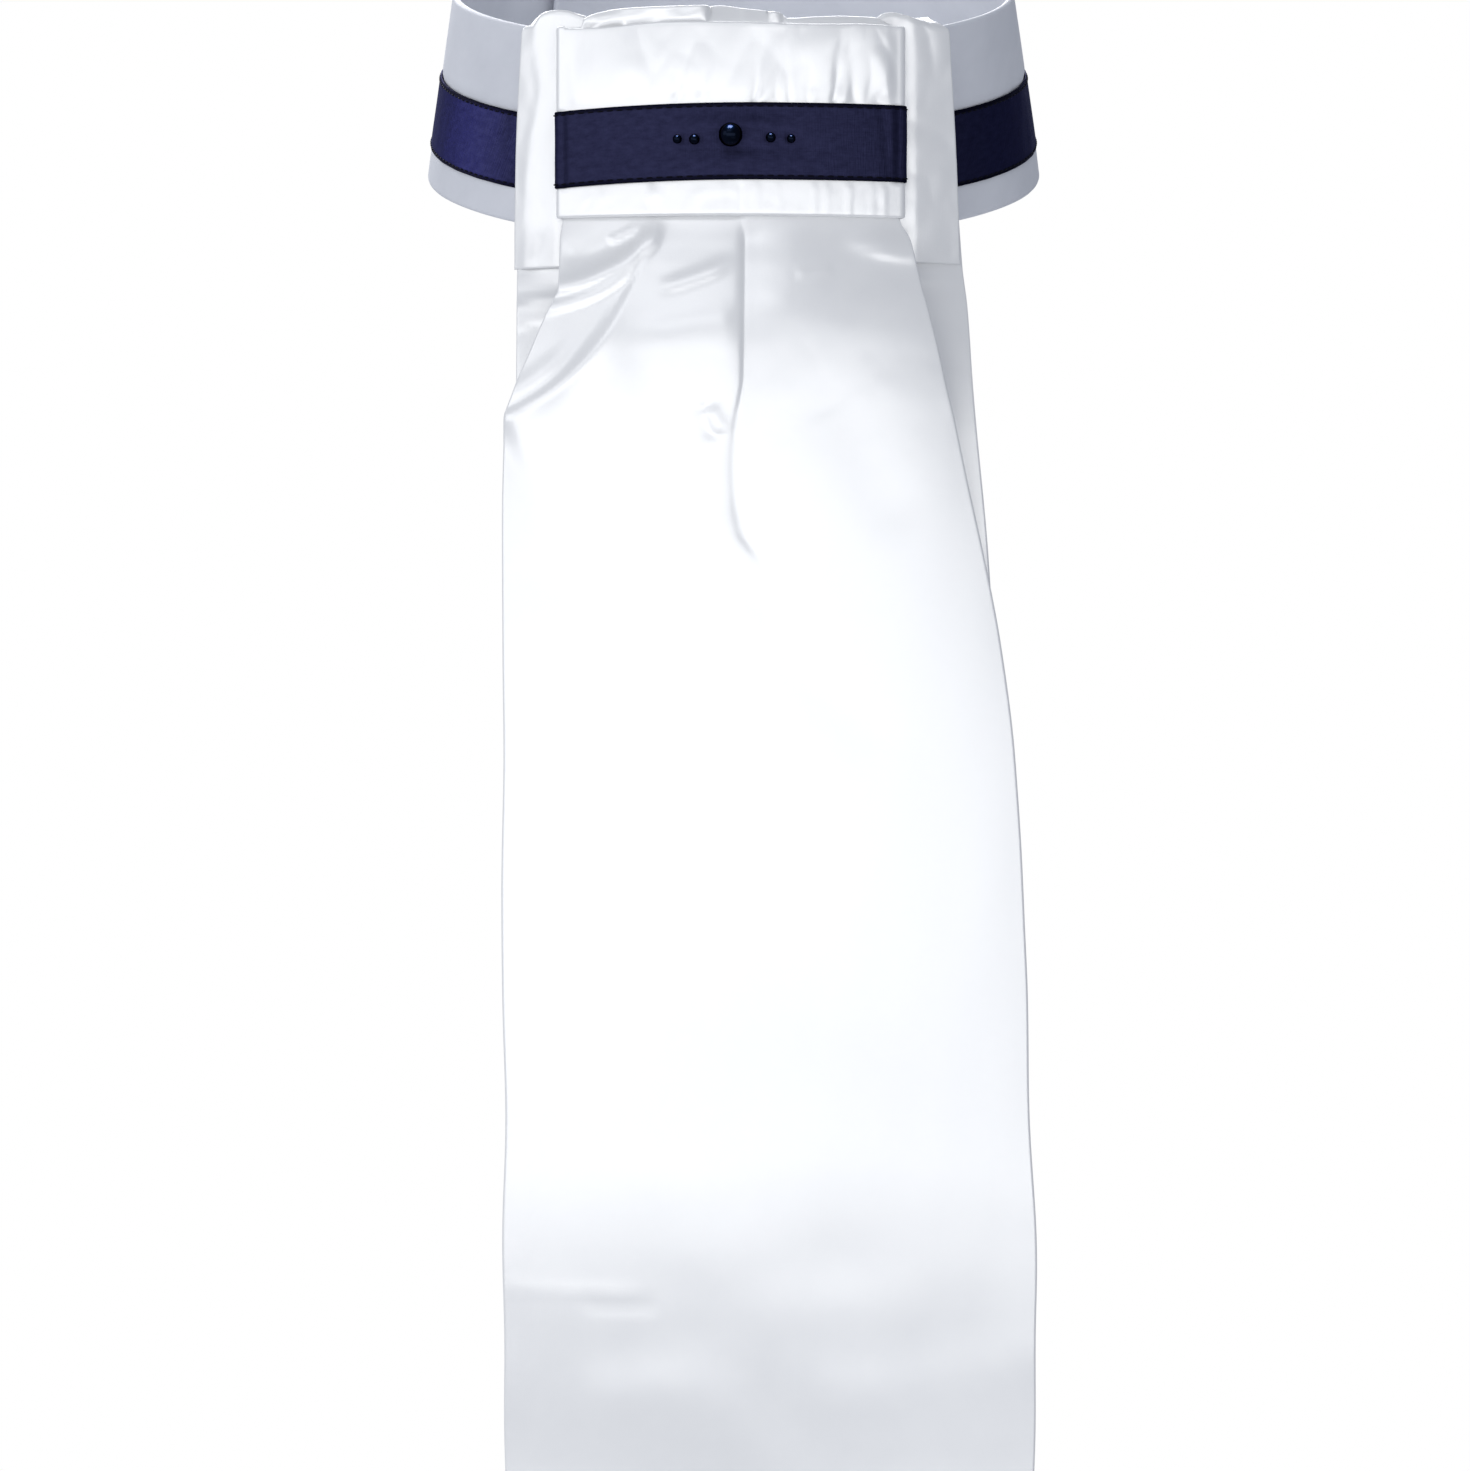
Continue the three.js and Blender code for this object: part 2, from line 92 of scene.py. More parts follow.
# Layers of the front, as forward distances of their outer faces at the middle. In plan they are rounder than
# flat, but flatter than the collar.
FRONT_FLATNESS = 1.5
FRONT_RADIUS = COLLAR_BOTTOM_RADIUS * FRONT_FLATNESS
RIBBON_FRONT = -corner("bar_ribbon", 0, 1)
RIBBON_RISE = 1.3
BAR_FRONT = RIBBON_FRONT - RIBBON_RISE
BAR_WALL = 1.1
BAR_TUCK = 7
TAIL_WALL = 1.2
TAIL_FRONT = BAR_FRONT - BAR_WALL - GAP
FLAP_WALL = 1
FLAP_FRONT = TAIL_FRONT - TAIL_WALL - BAR_WALL - 2 * GAP
BACK_TAIL_WALL = 1
BACK_TAIL_FRONT = FLAP_FRONT - FLAP_WALL - GAP

# Heights and edges of the front pieces.
BAR_TOP = corner("cross_bar", 1, 2)
BAR_BOTTOM = corner("cross_bar", 0, 2)
BAR_HEIGHT = BAR_TOP - BAR_BOTTOM
BAR_LEFT = corner("cross_bar", 0, 0)
BAR_RIGHT = corner("cross_bar", 1, 0)
BAR_MIDDLE = (BAR_LEFT + BAR_RIGHT) / 2
RIBBON_MIDDLE = BAR_BOTTOM + RIBBON_MARGIN + RIBBON_WIDTH / 2
HEM = corner("front_flap", 0, 2)
TAIL_END = corner("front_tail", 0, 2)
TAIL_LENGTH = BAR_BOTTOM - TAIL_END
BACK_TAIL_END = corner("back_tail", 0, 2)
TAIL_BELLY = 8
HEM_DEPTH = 12
HEM_FULLNESS = 0.35

# The pleat fades out between these depths. The flap's face is about FLAP_RISE high. It rolls over the
# collar's edge and goes FLAP_INSIDE down behind it, narrower by FLAP_TAPER on each side.
PLEAT_FADES = (95, 112)
FLAP_RISE = 50
FLAP_INSIDE = 17
FLAP_TAPER = 3.7
FLAP_ROLL = 0.9

# Beads and the floor. A bead's ends are the parts of it past this share of its radius.
BEAD_END = 0.985
BEAD_FLATNESS = 0.86
FLOOR_HEIGHT = -0.345
FLOOR_RADIUS = 0.24

# The photograph's camera, in metres and in the photograph's pixels.
CAMERA_PLACE = (0.0003, -1.264, -0.1429)
FOCAL_PIXELS = 5760
PHOTO_WIDTH = 1470

# Front tail's edges, by the height of the row.
TAIL_EDGES = table(
    "z left right",
    (-328.6, -47.8, 62.8),
    (-260.6, -47.6, 62.8),
    (-234.6, -47.6, 62.2),
    (-197.6, -47.8, 61),
    (-182.6, -47.8, 60.2),
    (-147.6, -47.6, 58.4),
    (-124.6, -47.6, 55.3),
    (-108.6, -47.8, 52.4),
    (-93.6, -48, 49.3),
    (-77.6, -47.7, 46),
    (-70.6, -45.4, 44.2),
    (-62.6, -42, 42.4),
    (-57, -39.6, 41),
    (-52.6, -37.4, 39.9),
    (-50.2, -36.4, 39.2),
    (-44.6, -36.3, 38),
    (-39.6, -36.2, 36.7),
    (-35.2, -35.6, 34.6),
    (13.4, -35.4, 34.2),
)

# How far the front tail stands forward, as a share of TAIL_BELLY, and how much of the plan curve it keeps.
TAIL_HANG = table(
    "drop forward curve",
    (0, 0, 1),
    (0.015, 0.1, 0.95),
    (0.04, 0.4, 0.9),
    (0.07, 0.7, 0.82),
    (0.1, 0.86, 0.76),
    (0.14, 0.94, 0.68),
    (0.22, 0.98, 0.56),
    (0.4, 1, 0.42),
    (0.7, 1, 0.32),
    (0.8, 0.85, 0.28),
    (0.9, 0.45, 0.26),
    (1, -0.1, 0.25),
)

# Centre pleat of the front tail: the x of its edge, by height.
PLEAT = table(
    "z x",
    (-328.6, 8),
    (-148.6, 8),
    (-116.6, 6),
    (-108.1, 5.2),
    (-100.6, 1.1),
    (-93.6, 0),
    (-86.6, -0.3),
    (-78.6, 0.3),
    (-68.6, 1.8),
    (-34.6, 2),
    (13.4, 1.6),
)

# Folds of the front tail: first ridges, then steps. A path runs through [x, z] points, and a fold comes in
# up to the first share of its fade and goes out from the second. A ridge is a rounded swell, or a valley
# where its height is below nought. A step is a lap that stands up on the path's right and falls away over
# its reach.
SOFT_ENDS = [0.22, 0.78]
TAIL_FOLDS = table(
    "height width fade path",
    (0.9, 2.4, [0.05, 0.5], [[-50, -74], [-43, -70.6], [-37, -66], [-31, -59]]),
    (1.55, 1.8, [0.04, 0.95],
     [[-14.6, -31], [-17.6, -39.7], [-20.4, -43], [-24, -45.6], [-31, -48.8], [-38, -50.2]]),
    (0.8, 1.2, [0.3, 0.95], [[-18.6, -43], [-22.4, -47.6], [-27.6, -51], [-33, -53], [-39.4, -54.6]]),
    (-0.8, 3.2, SOFT_ENDS, [[-37, -42.8], [-29, -43], [-20, -37]]),
    (0.9, 1, SOFT_ENDS, [[-26.4, -40.6], [-22.4, -38.7], [-18.6, -36.4]]),
    (0.65, 1.6, [0.35, 0.7], [[1, -43.8], [-4, -46.9], [-9, -48.7], [-17, -51.4]]),
    (0.2, 1, SOFT_ENDS, [[21, -46.4], [17, -47.4], [12.4, -47.8]]),
    (0.5, 1.5, SOFT_ENDS, [[-5.4, -75], [-3.6, -78.4], [-2.6, -81]]),
    (-0.35, 1.5, SOFT_ENDS, [[-6.6, -73.6], [-5.6, -77], [-4, -82.2]]),
    (-0.25, 6, SOFT_ENDS, [[5, -104.6], [9, -118.6], [20, -134.6], [36, -148.6]]),
    (0.2, 6, SOFT_ENDS, [[-6, -94.6], [-3, -110.6], [2, -126.6]]),
    (-0.3, 7, SOFT_ENDS, [[14, -68], [22, -76], [30, -92.6], [40, -100]]),
    (0.3, 10, SOFT_ENDS, [[-44, -108.6], [-30, -148.6], [-34, -188.6]]),
    (0.1, 1.3, SOFT_ENDS, [[-52, -256.4], [-34, -257.6], [-16, -258.6]]),
    (-0.14, 1.2, SOFT_ENDS, [[-33, -259.4], [-26, -260.4], [-14, -260.2]]),
    (-0.25, 8, SOFT_ENDS, [[-64, -265], [-18, -267.6], [8, -262]]),
    (0.35, 7, SOFT_ENDS, [[-34, -281], [-12, -279], [6, -284]]),
    (-0.9, 8, [0.1, 0.9], [[-84, -288], [-30, -295], [10, -300]]),
    (-0.3, 6, SOFT_ENDS, [[8, -297], [34, -295], [84, -290]]),
    (0.35, 7, SOFT_ENDS, [[6, -278], [30, -279], [84, -271]]),
    (1.6, 26, [0.3, 0.96], [[-50, -316], [10, -316], [90, -314]]),
)
TAIL_FOLDS += table(
    "height width reach fade path",
    (0.6, 0.3, 3, [0.2, 0.97],
     [[-44.4, -75.4], [-37.4, -71.3], [-31, -65.4], [-25.7, -58.4],
      [-21.1, -49.6], [-17.4, -41.6], [-15.4, -36], [-14.8, -32]]),
    (2.1, 1.1, 6, [0.1, 0.45],
     [[-50, -77.6], [-44.4, -75], [-37.8, -70.8], [-31.8, -65], [-26.4, -57.6], [-22.4, -50]]),
    (1.05, 2.8, 9, [0.35, 0.8], [[-23, -60], [-10, -57.2], [2, -55.4]]),
    (2, 2, 6, [0.06, 0.6], [[46, -43.8], [36, -43.8], [31, -43.2], [21, -41.4]]),
    (0.2, 2.6, 12, [0.2, 0.95], [[4, -46], [8.4, -51.4], [15.4, -55.4], [23, -57.2], [34, -58], [46, -58]]),
    (0.7, 5, 40, [0.15, 0.8], [[50, -58], [26, -58], [2, -56]]),
)

# Back tail's edges and folds, in the same form as the front tail's.
BACK_TAIL_EDGES = table(
    "z left right",
    (-328.6, -45, 58.8),
    (-198.6, -45.1, 57.4),
    (-108.6, -45.3, 53.4),
    (-72.6, -45.4, 50.3),
    (-52.6, -45.4, 49),
    (HEM, -45.4, 48.1),
    (13.4, -44.6, 44.4),
)
BACK_TAIL_FOLDS = table(
    "height width fade path",
    (1.5, 1, SOFT_ENDS, [[-56, -56.6], [-42, -52.7], [-30, -51.6]]),
    (1.2, 0.9, SOFT_ENDS, [[-56, -59], [-43, -56], [-30, -54]]),
    (-1, 5, SOFT_ENDS, [[46, -50.6], [46, -78.6], [50, -118.6]]),
    (0.8, 3, SOFT_ENDS, [[52, -58.6], [52, -88.6], [54, -128.6]]),
)
BACK_TAIL_FOLDS += table(
    "height width reach fade path",
    (1.2, 1, 5, [0.05, 0.8], [[54, -47.2], [44, -47], [32, -47.6]]),
)

# Gathers of the bar above its ribbon: x where they leave the ribbon, lean and length in millimetres. Each is
# a fine valley with a soft ridge on its right.
BAR_GATHERS = table(
    "x lean length height width",
    (-30, 0.4, 9, 0.05, 2.4),
    (-21, 0.2, 12, 0.04, 2),
    (-12.4, 1.1, 3.4, 0.26, 0.6),
    (-7.2, 0.8, 3.6, 0.18, 0.7),
    (-1.5, 2.2, 10, 0.05, 1.6),
    (4.2, 1.5, 10, 0.5, 1.3),
    (8.8, 0.6, 6, 0.2, 0.9),
    (11.7, -0.4, 5, 0.18, 0.7),
    (15.2, 0.5, 3.4, 0.24, 0.8),
    (20.9, 0.9, 9, 0.46, 1.2),
    (25.4, -0.6, 5, 0.16, 1),
    (30.4, -1.2, 5, 0.2, 1.8),
)

# Small gathers of the bar below its ribbon: x and height.
MARGIN_GATHERS = table(
    "x height",
    (-27.4, 0.05),
    (-17, 0.16),
    (-2.4, 0.07),
    (4.9, 0.1),
    (9.3, 0.07),
    (16.8, 0.14),
    (19.4, 0.11),
    (24, 0.13),
    (28.8, 0.09),
    (31.2, 0.12),
)

# Top edge of the front tail above the bar, by x: rise in millimetres over the bar.
TAIL_TOP = table(
    "x rise",
    (-36, -0.6),
    (-32, -0.4),
    (-31.3, 1.5),
    (-28.7, 2.7),
    (-25, 3.4),
    (-16, 3.7),
    (-6.9, 3.9),
    (-5.2, 4),
    (-0.7, 3.4),
    (6.6, 2.5),
    (7.8, 2.2),
    (9.3, 1.1),
    (16, 1.6),
    (22.5, 1.9),
    (29, 1.8),
    (31.4, 0.6),
    (36, -0.6),
)

# Layers of the tail's folded top: each stands up from the one before it at x, leans back by its slope and
# stands forward by its lift.
TOP_LAYERS = table(
    "x slope lift",
    (-36, 0.25, 0),
    (-31.4, 0.1, 0.7),
    (-5.7, 0.85, 0),
    (7.7, 0.1, 0.3),
    (9.6, 0.9, 0),
)

# Side edges of the flap's face, by height.
FLAP_EDGES = table(
    "z left right",
    (HEM, -46, 47.6),
    (-20, -45.6, 46.6),
    (8, -44.2, 45),
)

# Front edge of the flap where it goes over the collar, by x.
FLAP_TOP = table(
    "x z",
    (-45, 5),
    (-41.9, 5.1),
    (-41, 6.3),
    (-40.2, 7.4),
    (-39, 8),
    (-37, 8.25),
    (-35, 8.1),
    (-33, 7.4),
    (-31, 6.6),
    (-29, 5.6),
    (-25, 4.4),
    (-13, 2.9),
    (0, 2.5),
    (13, 3),
    (24, 4.3),
    (28.6, 5.3),
    (30, 6.2),
    (31.4, 7.3),
    (33.2, 7.6),
    (35.2, 7.2),
    (38, 6.1),
    (41, 5.1),
    (45.3, 4.9),
)

# Where the left strip's raised band begins, by height.
BAND_EDGE = table(
    "z x",
    (-46, -43.9),
    (-32, -43.4),
    (-22, -43),
    (-17.5, -42),
    (-12, -40.9),
    (-8, -40.3),
    (-1.5, -41.2),
    (8, -41.4),
)

# Beads on the bar's ribbon, named as the CAD nodes that they replace.
BEADS = ["bead_outer_left", "bead_inner_left", "bead_centre", "bead_inner_right", "bead_outer_right"]


def smooth(rows, key, name, at):
    """A table's column read at any place, on a curve through its rows that doesn't overshoot."""
    rows = sorted(rows, key=lambda row: row[key])
    xs = np.array([row[key] for row in rows], float)
    ys = np.array([row[name] for row in rows], float)
    rise = np.diff(ys) / np.diff(xs)
    slope = np.zeros_like(ys)
    both = rise[:-1] * rise[1:] > 0
    mean = np.where(both, rise[:-1] + rise[1:], 1)
    slope[1:-1] = np.where(both, 2 * rise[:-1] * rise[1:] / mean, 0)
    slope[0], slope[-1] = rise[0], rise[-1]
    at = np.clip(at, xs[0], xs[-1])
    i = np.clip(np.searchsorted(xs, at, side="right") - 1, 0, len(xs) - 2)
    h = xs[i + 1] - xs[i]
    t = (at - xs[i]) / h
    start = (1 + 2 * t) * (1 - t) ** 2 * ys[i] + t * (1 - t) ** 2 * h * slope[i]
    return start + t * t * (3 - 2 * t) * ys[i + 1] + t * t * (t - 1) * h * slope[i + 1]


def ease(x, low, high):
    """A soft rise from 0 at low to 1 at high."""
    t = np.clip((x - low) / (high - low), 0, 1)
    return t * t * (3 - 2 * t)


def between(x, low, high, soft):
    """1 from low to high and 0 outside them, with soft edges."""
    return ease(x, low - soft, low + soft) * (1 - ease(x, high - soft, high + soft))


def hump(x, width):
    """A rounded swell, 1 at nought and fading away on both sides."""
    return np.exp(-((x / width) ** 2))


def spline(points, per_leg=8):
    """Points on a smooth curve through the given ones."""
    p = np.array(points, float)
    p = np.vstack([2 * p[0] - p[1], p, 2 * p[-1] - p[-2]])
    t = np.linspace(0, 1, per_leg, endpoint=False)[:, None]
    legs = []
    for a, b, c, d in zip(p, p[1:], p[2:], p[3:]):
        square = 2 * a - 5 * b + 4 * c - d
        cube = 3 * b - a - 3 * c + d
        legs.append(0.5 * (2 * b + (c - a) * t + square * t**2 + cube * t**3))
    return np.vstack([*legs, p[-2][None]])


def beside(path, x, z):
    """Signed distance from a path, positive on its right, and the share of the way along it."""
    points = spline(path)
    steps = np.diff(points, axis=0)
    lengths = np.hypot(*steps.T)
    before = np.concatenate([[0], np.cumsum(lengths)])
    best = np.full(x.shape, 1e9)
    side = np.zeros(x.shape)
    along = np.zeros(x.shape)
    for a, step, length, start in zip(points, steps, lengths, before):
        dx, dz = x - a[0], z - a[1]
        t = np.clip((dx * step[0] + dz * step[1]) / length**2, 0, 1)
        away = np.hypot(dx - t * step[0], dz - t * step[1])
        near = away < best
        best = np.where(near, away, best)
        side = np.where(near, np.sign(dz * step[0] - dx * step[1]) * -away, side)
        along = np.where(near, (start + t * length) / before[-1], along)
    return side, along


def fold_relief(folds, x, z):
    """The relief that a table of folds gives at each point."""
    total = np.zeros(x.shape)
    for fold in folds:
        side, along = beside(fold["path"], x, z)
        start, end = fold["fade"]
        fade = ease(along, 0, start) * (1 - ease(along, end, 1))
        if "reach" in fold:
            shape = 0.5 * (1 + np.tanh(side / fold["width"])) * np.exp(-np.maximum(side, 0) / fold["reach"])
        else:
            shape = hump(side, fold["width"])
        total += fold["height"] * fade * shape
    return total


def ripples(x, z, seed, size, amount, stretch=1):
    """Seeded uneven ripples of about the given size; stretch above 1 draws them out along z."""
    draw = np.random.default_rng(seed)
    total = np.zeros(np.broadcast(x, z).shape)
    waves = 14
    for _ in range(waves):
        turn = draw.uniform(0, math.pi)
        length = size * draw.uniform(0.7, 1.8)
        phase = draw.uniform(0, 2 * math.pi)
        total += np.sin(2 * math.pi * (x * math.cos(turn) + z / stretch * math.sin(turn)) / length + phase)
    return amount * total / math.sqrt(waves)


def crumple(x, z, seed, size, amount, stretch=1):
    """Uneven facets with soft edges, as on satin that has been pressed together and smoothed again."""
    drift_x = ripples(x, z, seed + 1, size * 1.6, 0.22 * size, stretch)
    drift_z = ripples(x, z, seed + 2, size * 1.6, 0.22 * size, stretch)
    first = np.abs(ripples(x + drift_x, z + drift_z, seed, size, 1, stretch))
    second = np.abs(ripples(x + drift_z, z + drift_x, seed + 3, 0.55 * size, 1, stretch))
    return amount * (first + 0.4 * second)


def plan_depth(x):
    """How far the front pieces lie back at x, on their round plan."""
    return FRONT_RADIUS - np.sqrt(FRONT_RADIUS**2 - x**2)


def shares(count, wall, length, dense=()):
    """Even steps from 0 to 1, with extra ones close to both ends so that the rims come out round."""
    turns = np.radians([0, 25, 50, 75, 90])
    rim = wall / 2 * (1 - np.cos(turns)) / length
    middle = np.linspace(0, 1, count + 1)[1:-1]
    middle = middle[(middle > rim[-1] * 1.4) & (middle < 1 - rim[-1] * 1.4)]
    return np.unique(np.concatenate([rim, middle, np.array(dense, float), 1 - rim]))


def grid_lengths(points):
    """Lengths along a grid of points, from its first column and from its first row."""
    across = np.zeros(points.shape[:2])
    down = np.zeros(points.shape[:2])
    across[:, 1:] = np.cumsum(np.linalg.norm(np.diff(points, axis=1), axis=2), axis=1)
    down[1:] = np.cumsum(np.linalg.norm(np.diff(points, axis=0), axis=2), axis=0)
    return across, down


def cloth(name, middle, wall, material, thicker=1):
    """A wall of cloth round a grid of middle points, rows running down, with rounded rims. Its UV is in
    metres along and across the cloth."""
    rows, columns, _ = middle.shape
    across, down = grid_lengths(middle)
    right = np.gradient(middle, axis=1)
    below = np.gradient(middle, axis=0)
    normal = np.cross(below, right)
    normal /= np.linalg.norm(normal, axis=2, keepdims=True)
    edge = np.minimum(np.minimum(across, across[:, -1:] - across), np.minimum(down, down[-1:] - down))
    radius = wall / 2
    half = radius * np.sqrt(np.clip(1 - (1 - np.minimum(edge / radius, 1)) ** 2, 0, 1))
    offset = normal * (half * thicker)[..., None]
    front = middle + offset
    back = middle - offset
    index = np.arange(rows * columns).reshape(rows, columns)
    inner = np.zeros((rows, columns), bool)
    inner[1:-1, 1:-1] = True
    back_index = index.copy()
    back_index[inner] = rows * columns + np.arange(inner.sum())
    points = np.vstack([front.reshape(-1, 3), back[inner]]) * MM

    def quads(i, turned):
        a, b, c, d = i[:-1, :-1], i[1:, :-1], i[1:, 1:], i[:-1, 1:]
        order = (a, d, c, b) if turned else (a, b, c, d)
        return np.stack(order, axis=-1).reshape(-1, 4)

    faces = np.vstack([quads(index, False), quads(back_index, True)])
    uv_grid = np.stack([across, -down], axis=-1).reshape(-1, 2) * MM
    uv_points = np.vstack([uv_grid, uv_grid.reshape(rows, columns, 2)[inner]])
    mesh = bpy.data.meshes.new(name)
    mesh.from_pydata(points.tolist(), [], faces.tolist())
    mesh.polygons.foreach_set("use_smooth", [True] * len(mesh.polygons))
    layer = mesh.uv_layers.new(name="cloth")
    corners = np.zeros(len(mesh.loops), int)
    mesh.loops.foreach_get("vertex_index", corners)
    layer.data.foreach_set("uv", uv_points[corners].ravel())
    mesh.materials.append(material)
    mesh.update()
    piece = bpy.data.objects.new(name, mesh)
    bpy.context.collection.objects.link(piece)
    return piece


class Value:
    """A shader socket that adds Math nodes when it is used in an expression."""

    def __init__(self, nodes, socket):
        self.nodes = nodes
        self.socket = socket

    def math(self, operation, *inputs):
        return self.nodes.node("ShaderNodeMath", {"operation": operation}, dict(enumerate(inputs)))[0]

    def __add__(self, other):
        return self.math("ADD", self, other)

    def __sub__(self, other):
        return self.math("SUBTRACT", self, other)

    def __mul__(self, other):
        return self.math("MULTIPLY", self, other)

    def __rsub__(self, other):
        return self.math("SUBTRACT", other, self)

    def __abs__(self):
        return self.math("ABSOLUTE", self)

    __radd__ = __add__
    __rmul__ = __mul__


class Nodes:
    """A node tree, and the one way in which nodes are added to it."""

    def __init__(self, tree):
        self.tree = tree

    def node(self, kind, settings=None, inputs=None):
        """Adds a node: its settings first, then its sockets' values or links. Gives the outputs in use."""
        node = self.tree.nodes.new(kind)
        for key, value in (settings or {}).items():
            setattr(node, key, value)
        for key, value in (inputs or {}).items():
            self.feed(node.inputs[key], value)
        return [Value(self, socket) for socket in node.outputs if socket.enabled]

    def feed(self, socket, value):
        if isinstance(value, Value):
            self.tree.links.new(value.socket, socket)
        else:
            socket.default_value = value

    def blend(self, share, first, second):
        """A colour between two others."""
        return self.node("ShaderNodeMix", {"data_type": "RGBA"}, {0: share, 6: first, 7: second})[0]


class Finish(Nodes):
    """A node material of one finish."""

    def __init__(self, name):
        self.material = bpy.data.materials.new(name)
        self.material.use_nodes = True
        super().__init__(self.material.node_tree)
        self.shader = self.tree.nodes["Principled BSDF"]

    def set(self, **inputs):
        for key, value in inputs.items():
            self.feed(self.shader.inputs[key.replace("_", " ")], value)

    def scaled(self, coordinates, scale):
        return self.node("ShaderNodeMapping", None, {"Vector": coordinates, "Scale": scale})[0]

    def uv(self):
        """The cloth's own coordinates, in metres."""
        return self.node("ShaderNodeUVMap", {"uv_map": "cloth"})[0]

    def place(self):
        """Object coordinates."""
        return self.node("ShaderNodeTexCoord")[3]

    def noise(self, coordinates, scale, detail=2, roughness=0.5):
        inputs = {"Vector": coordinates, "Scale": scale, "Detail": detail, "Roughness": roughness}
        return self.node("ShaderNodeTexNoise", None, inputs)[0]

    def fade(self, value, low, high, start, end):
        """A soft change from start to end as a value goes from low to high."""
        inputs = {"Value": value, "From Min": low, "From Max": high, "To Min": start, "To Max": end}
        return self.node("ShaderNodeMapRange", {"interpolation_type": "SMOOTHSTEP"}, inputs)[0]

    def bump(self, height, strength, distance):
        """A normal from a height."""
        inputs = {"Height": height, "Strength": strength, "Distance": distance}
        return self.node("ShaderNodeBump", None, inputs)[0]


def weave(finish, warp, weft, uneven):
    """The height of a satin weave: long fine warp floats with fainter threads across them."""
    uv = finish.uv()
    along = finish.noise(finish.scaled(uv, (1 / (warp * MM), 0.08 / (warp * MM), 1)), 1, 1)
    over = finish.noise(finish.scaled(uv, (0.06 / (weft * MM), 1 / (weft * MM), 1)), 1, 1)
    slub = finish.noise(uv, 1 / (uneven * MM), 3, 0.6)
    return along * 0.55 + over * 0.3 + slub * 0.35


def white_satin():
    finish = Finish("white_satin")
    height = weave(finish, 0.28, 0.34, 5)
    tone = finish.noise(finish.uv(), 90, 4, 0.6)
    white = finish.blend(tone, (0.852, 0.86, 0.878, 1), (0.903, 0.909, 0.92, 1))
    finish.set(Base_Color=white, Roughness=0.3 + 0.06 * tone, Metallic=0.34, Sheen_Weight=0.15)
    finish.set(Sheen_Roughness=0.4, Specular_IOR_Level=0.6)
    finish.set(Normal=finish.bump(height, 0.25, 0.00005))
    return finish.material


def collar_cotton():
    finish = Finish("collar_cotton_satin")
    height = weave(finish, 0.34, 0.34, 7)
    tone = finish.noise(finish.uv(), 60, 4, 0.6)
    white = finish.blend(tone, (0.6, 0.62, 0.68, 1), (0.77, 0.79, 0.85, 1))
    finish.set(Base_Color=white, Roughness=0.5 + 0.08 * tone, Metallic=0.08, Sheen_Weight=0.08)
    finish.set(Sheen_Roughness=0.5, Specular_IOR_Level=0.4)
    finish.set(Normal=finish.bump(height, 0.4, 0.00008))
    return finish.material


def navy_ribbon():
    finish = Finish("navy_ribbon_satin")
    height = weave(finish, 0.3, 0.26, 3)
    tone = finish.noise(finish.scaled(finish.uv(), (420, 800, 1)), 1, 5, 0.7)
    navy = finish.blend(tone, (0.006, 0.0063, 0.02, 1), (0.032, 0.0338, 0.083, 1))
    across = finish.node("ShaderNodeSeparateXYZ", None, {0: finish.uv()})[1]
    low, high = (edge * MM for edge in RIBBON_BORDER)
    border = finish.fade(abs(across + RIBBON_WIDTH / 2 * MM), low, high, 0, 0.85)
    finish.set(Base_Color=finish.blend(border, navy, (0.002, 0.002, 0.006, 1)), Roughness=0.38 + 0.12 * tone)
    finish.set(Metallic=0.9, Specular_Tint=(0.25, 0.25, 0.4, 1), Specular_IOR_Level=0.12, Sheen_Weight=0.04)
    finish.set(Sheen_Roughness=0.4, Sheen_Tint=(0.5, 0.55, 0.95, 1))
    finish.set(Normal=finish.bump(height, 0.9, 0.00012))
    return finish.material


def navy_thread():
    finish = Finish("navy_thread")
    twist = finish.noise(finish.scaled(finish.place(), (2500, 2500, 2500)), 1, 2)
    finish.set(Base_Color=finish.blend(twist, (0.002, 0.002, 0.007, 1), (0.0014, 0.0014, 0.0049, 1)))
    finish.set(Roughness=0.7, Specular_IOR_Level=0.1, Normal=finish.bump(twist, 0.3, 0.00003))
    return finish.material


def navy_pearl():
    finish = Finish("navy_pearl")
    cloud = finish.noise(finish.place(), 500, 3, 0.6)
    navy = finish.blend(cloud, (0.001, 0.002, 0.007, 1), (0.0015, 0.005, 0.015, 1))
    finish.set(Base_Color=navy, Roughness=0.2 + 0.06 * cloud, Metallic=1, Specular_Tint=(0.05, 0.1, 0.3, 1))
    finish.set(Coat_Weight=0.08, Coat_Roughness=0.08)
    return finish.material


def hook_tape():
    finish = Finish("white_hook_tape")
    hooks = finish.noise(finish.scaled(finish.uv(), (1500, 1500, 1)), 1, 2)
    finish.set(Base_Color=finish.blend(hooks, (0.55, 0.56, 0.6, 1), (0.82, 0.83, 0.86, 1)), Roughness=0.9)
    finish.set(Sheen_Weight=0.4, Normal=finish.bump(hooks, 1, 0.0006))
    return finish.material


SATIN = white_satin()
COTTON = collar_cotton()
NAVY = navy_ribbon()
NAVY_THREAD = navy_thread()
PEARL = navy_pearl()
HOOKS = hook_tape()


def collar_radius(height):
    """The collar's outer radius at a height along the neck."""
    share = 0.5 - height / COLLAR_HEIGHT
    return COLLAR_TOP_RADIUS + (COLLAR_BOTTOM_RADIUS - COLLAR_TOP_RADIUS) * share


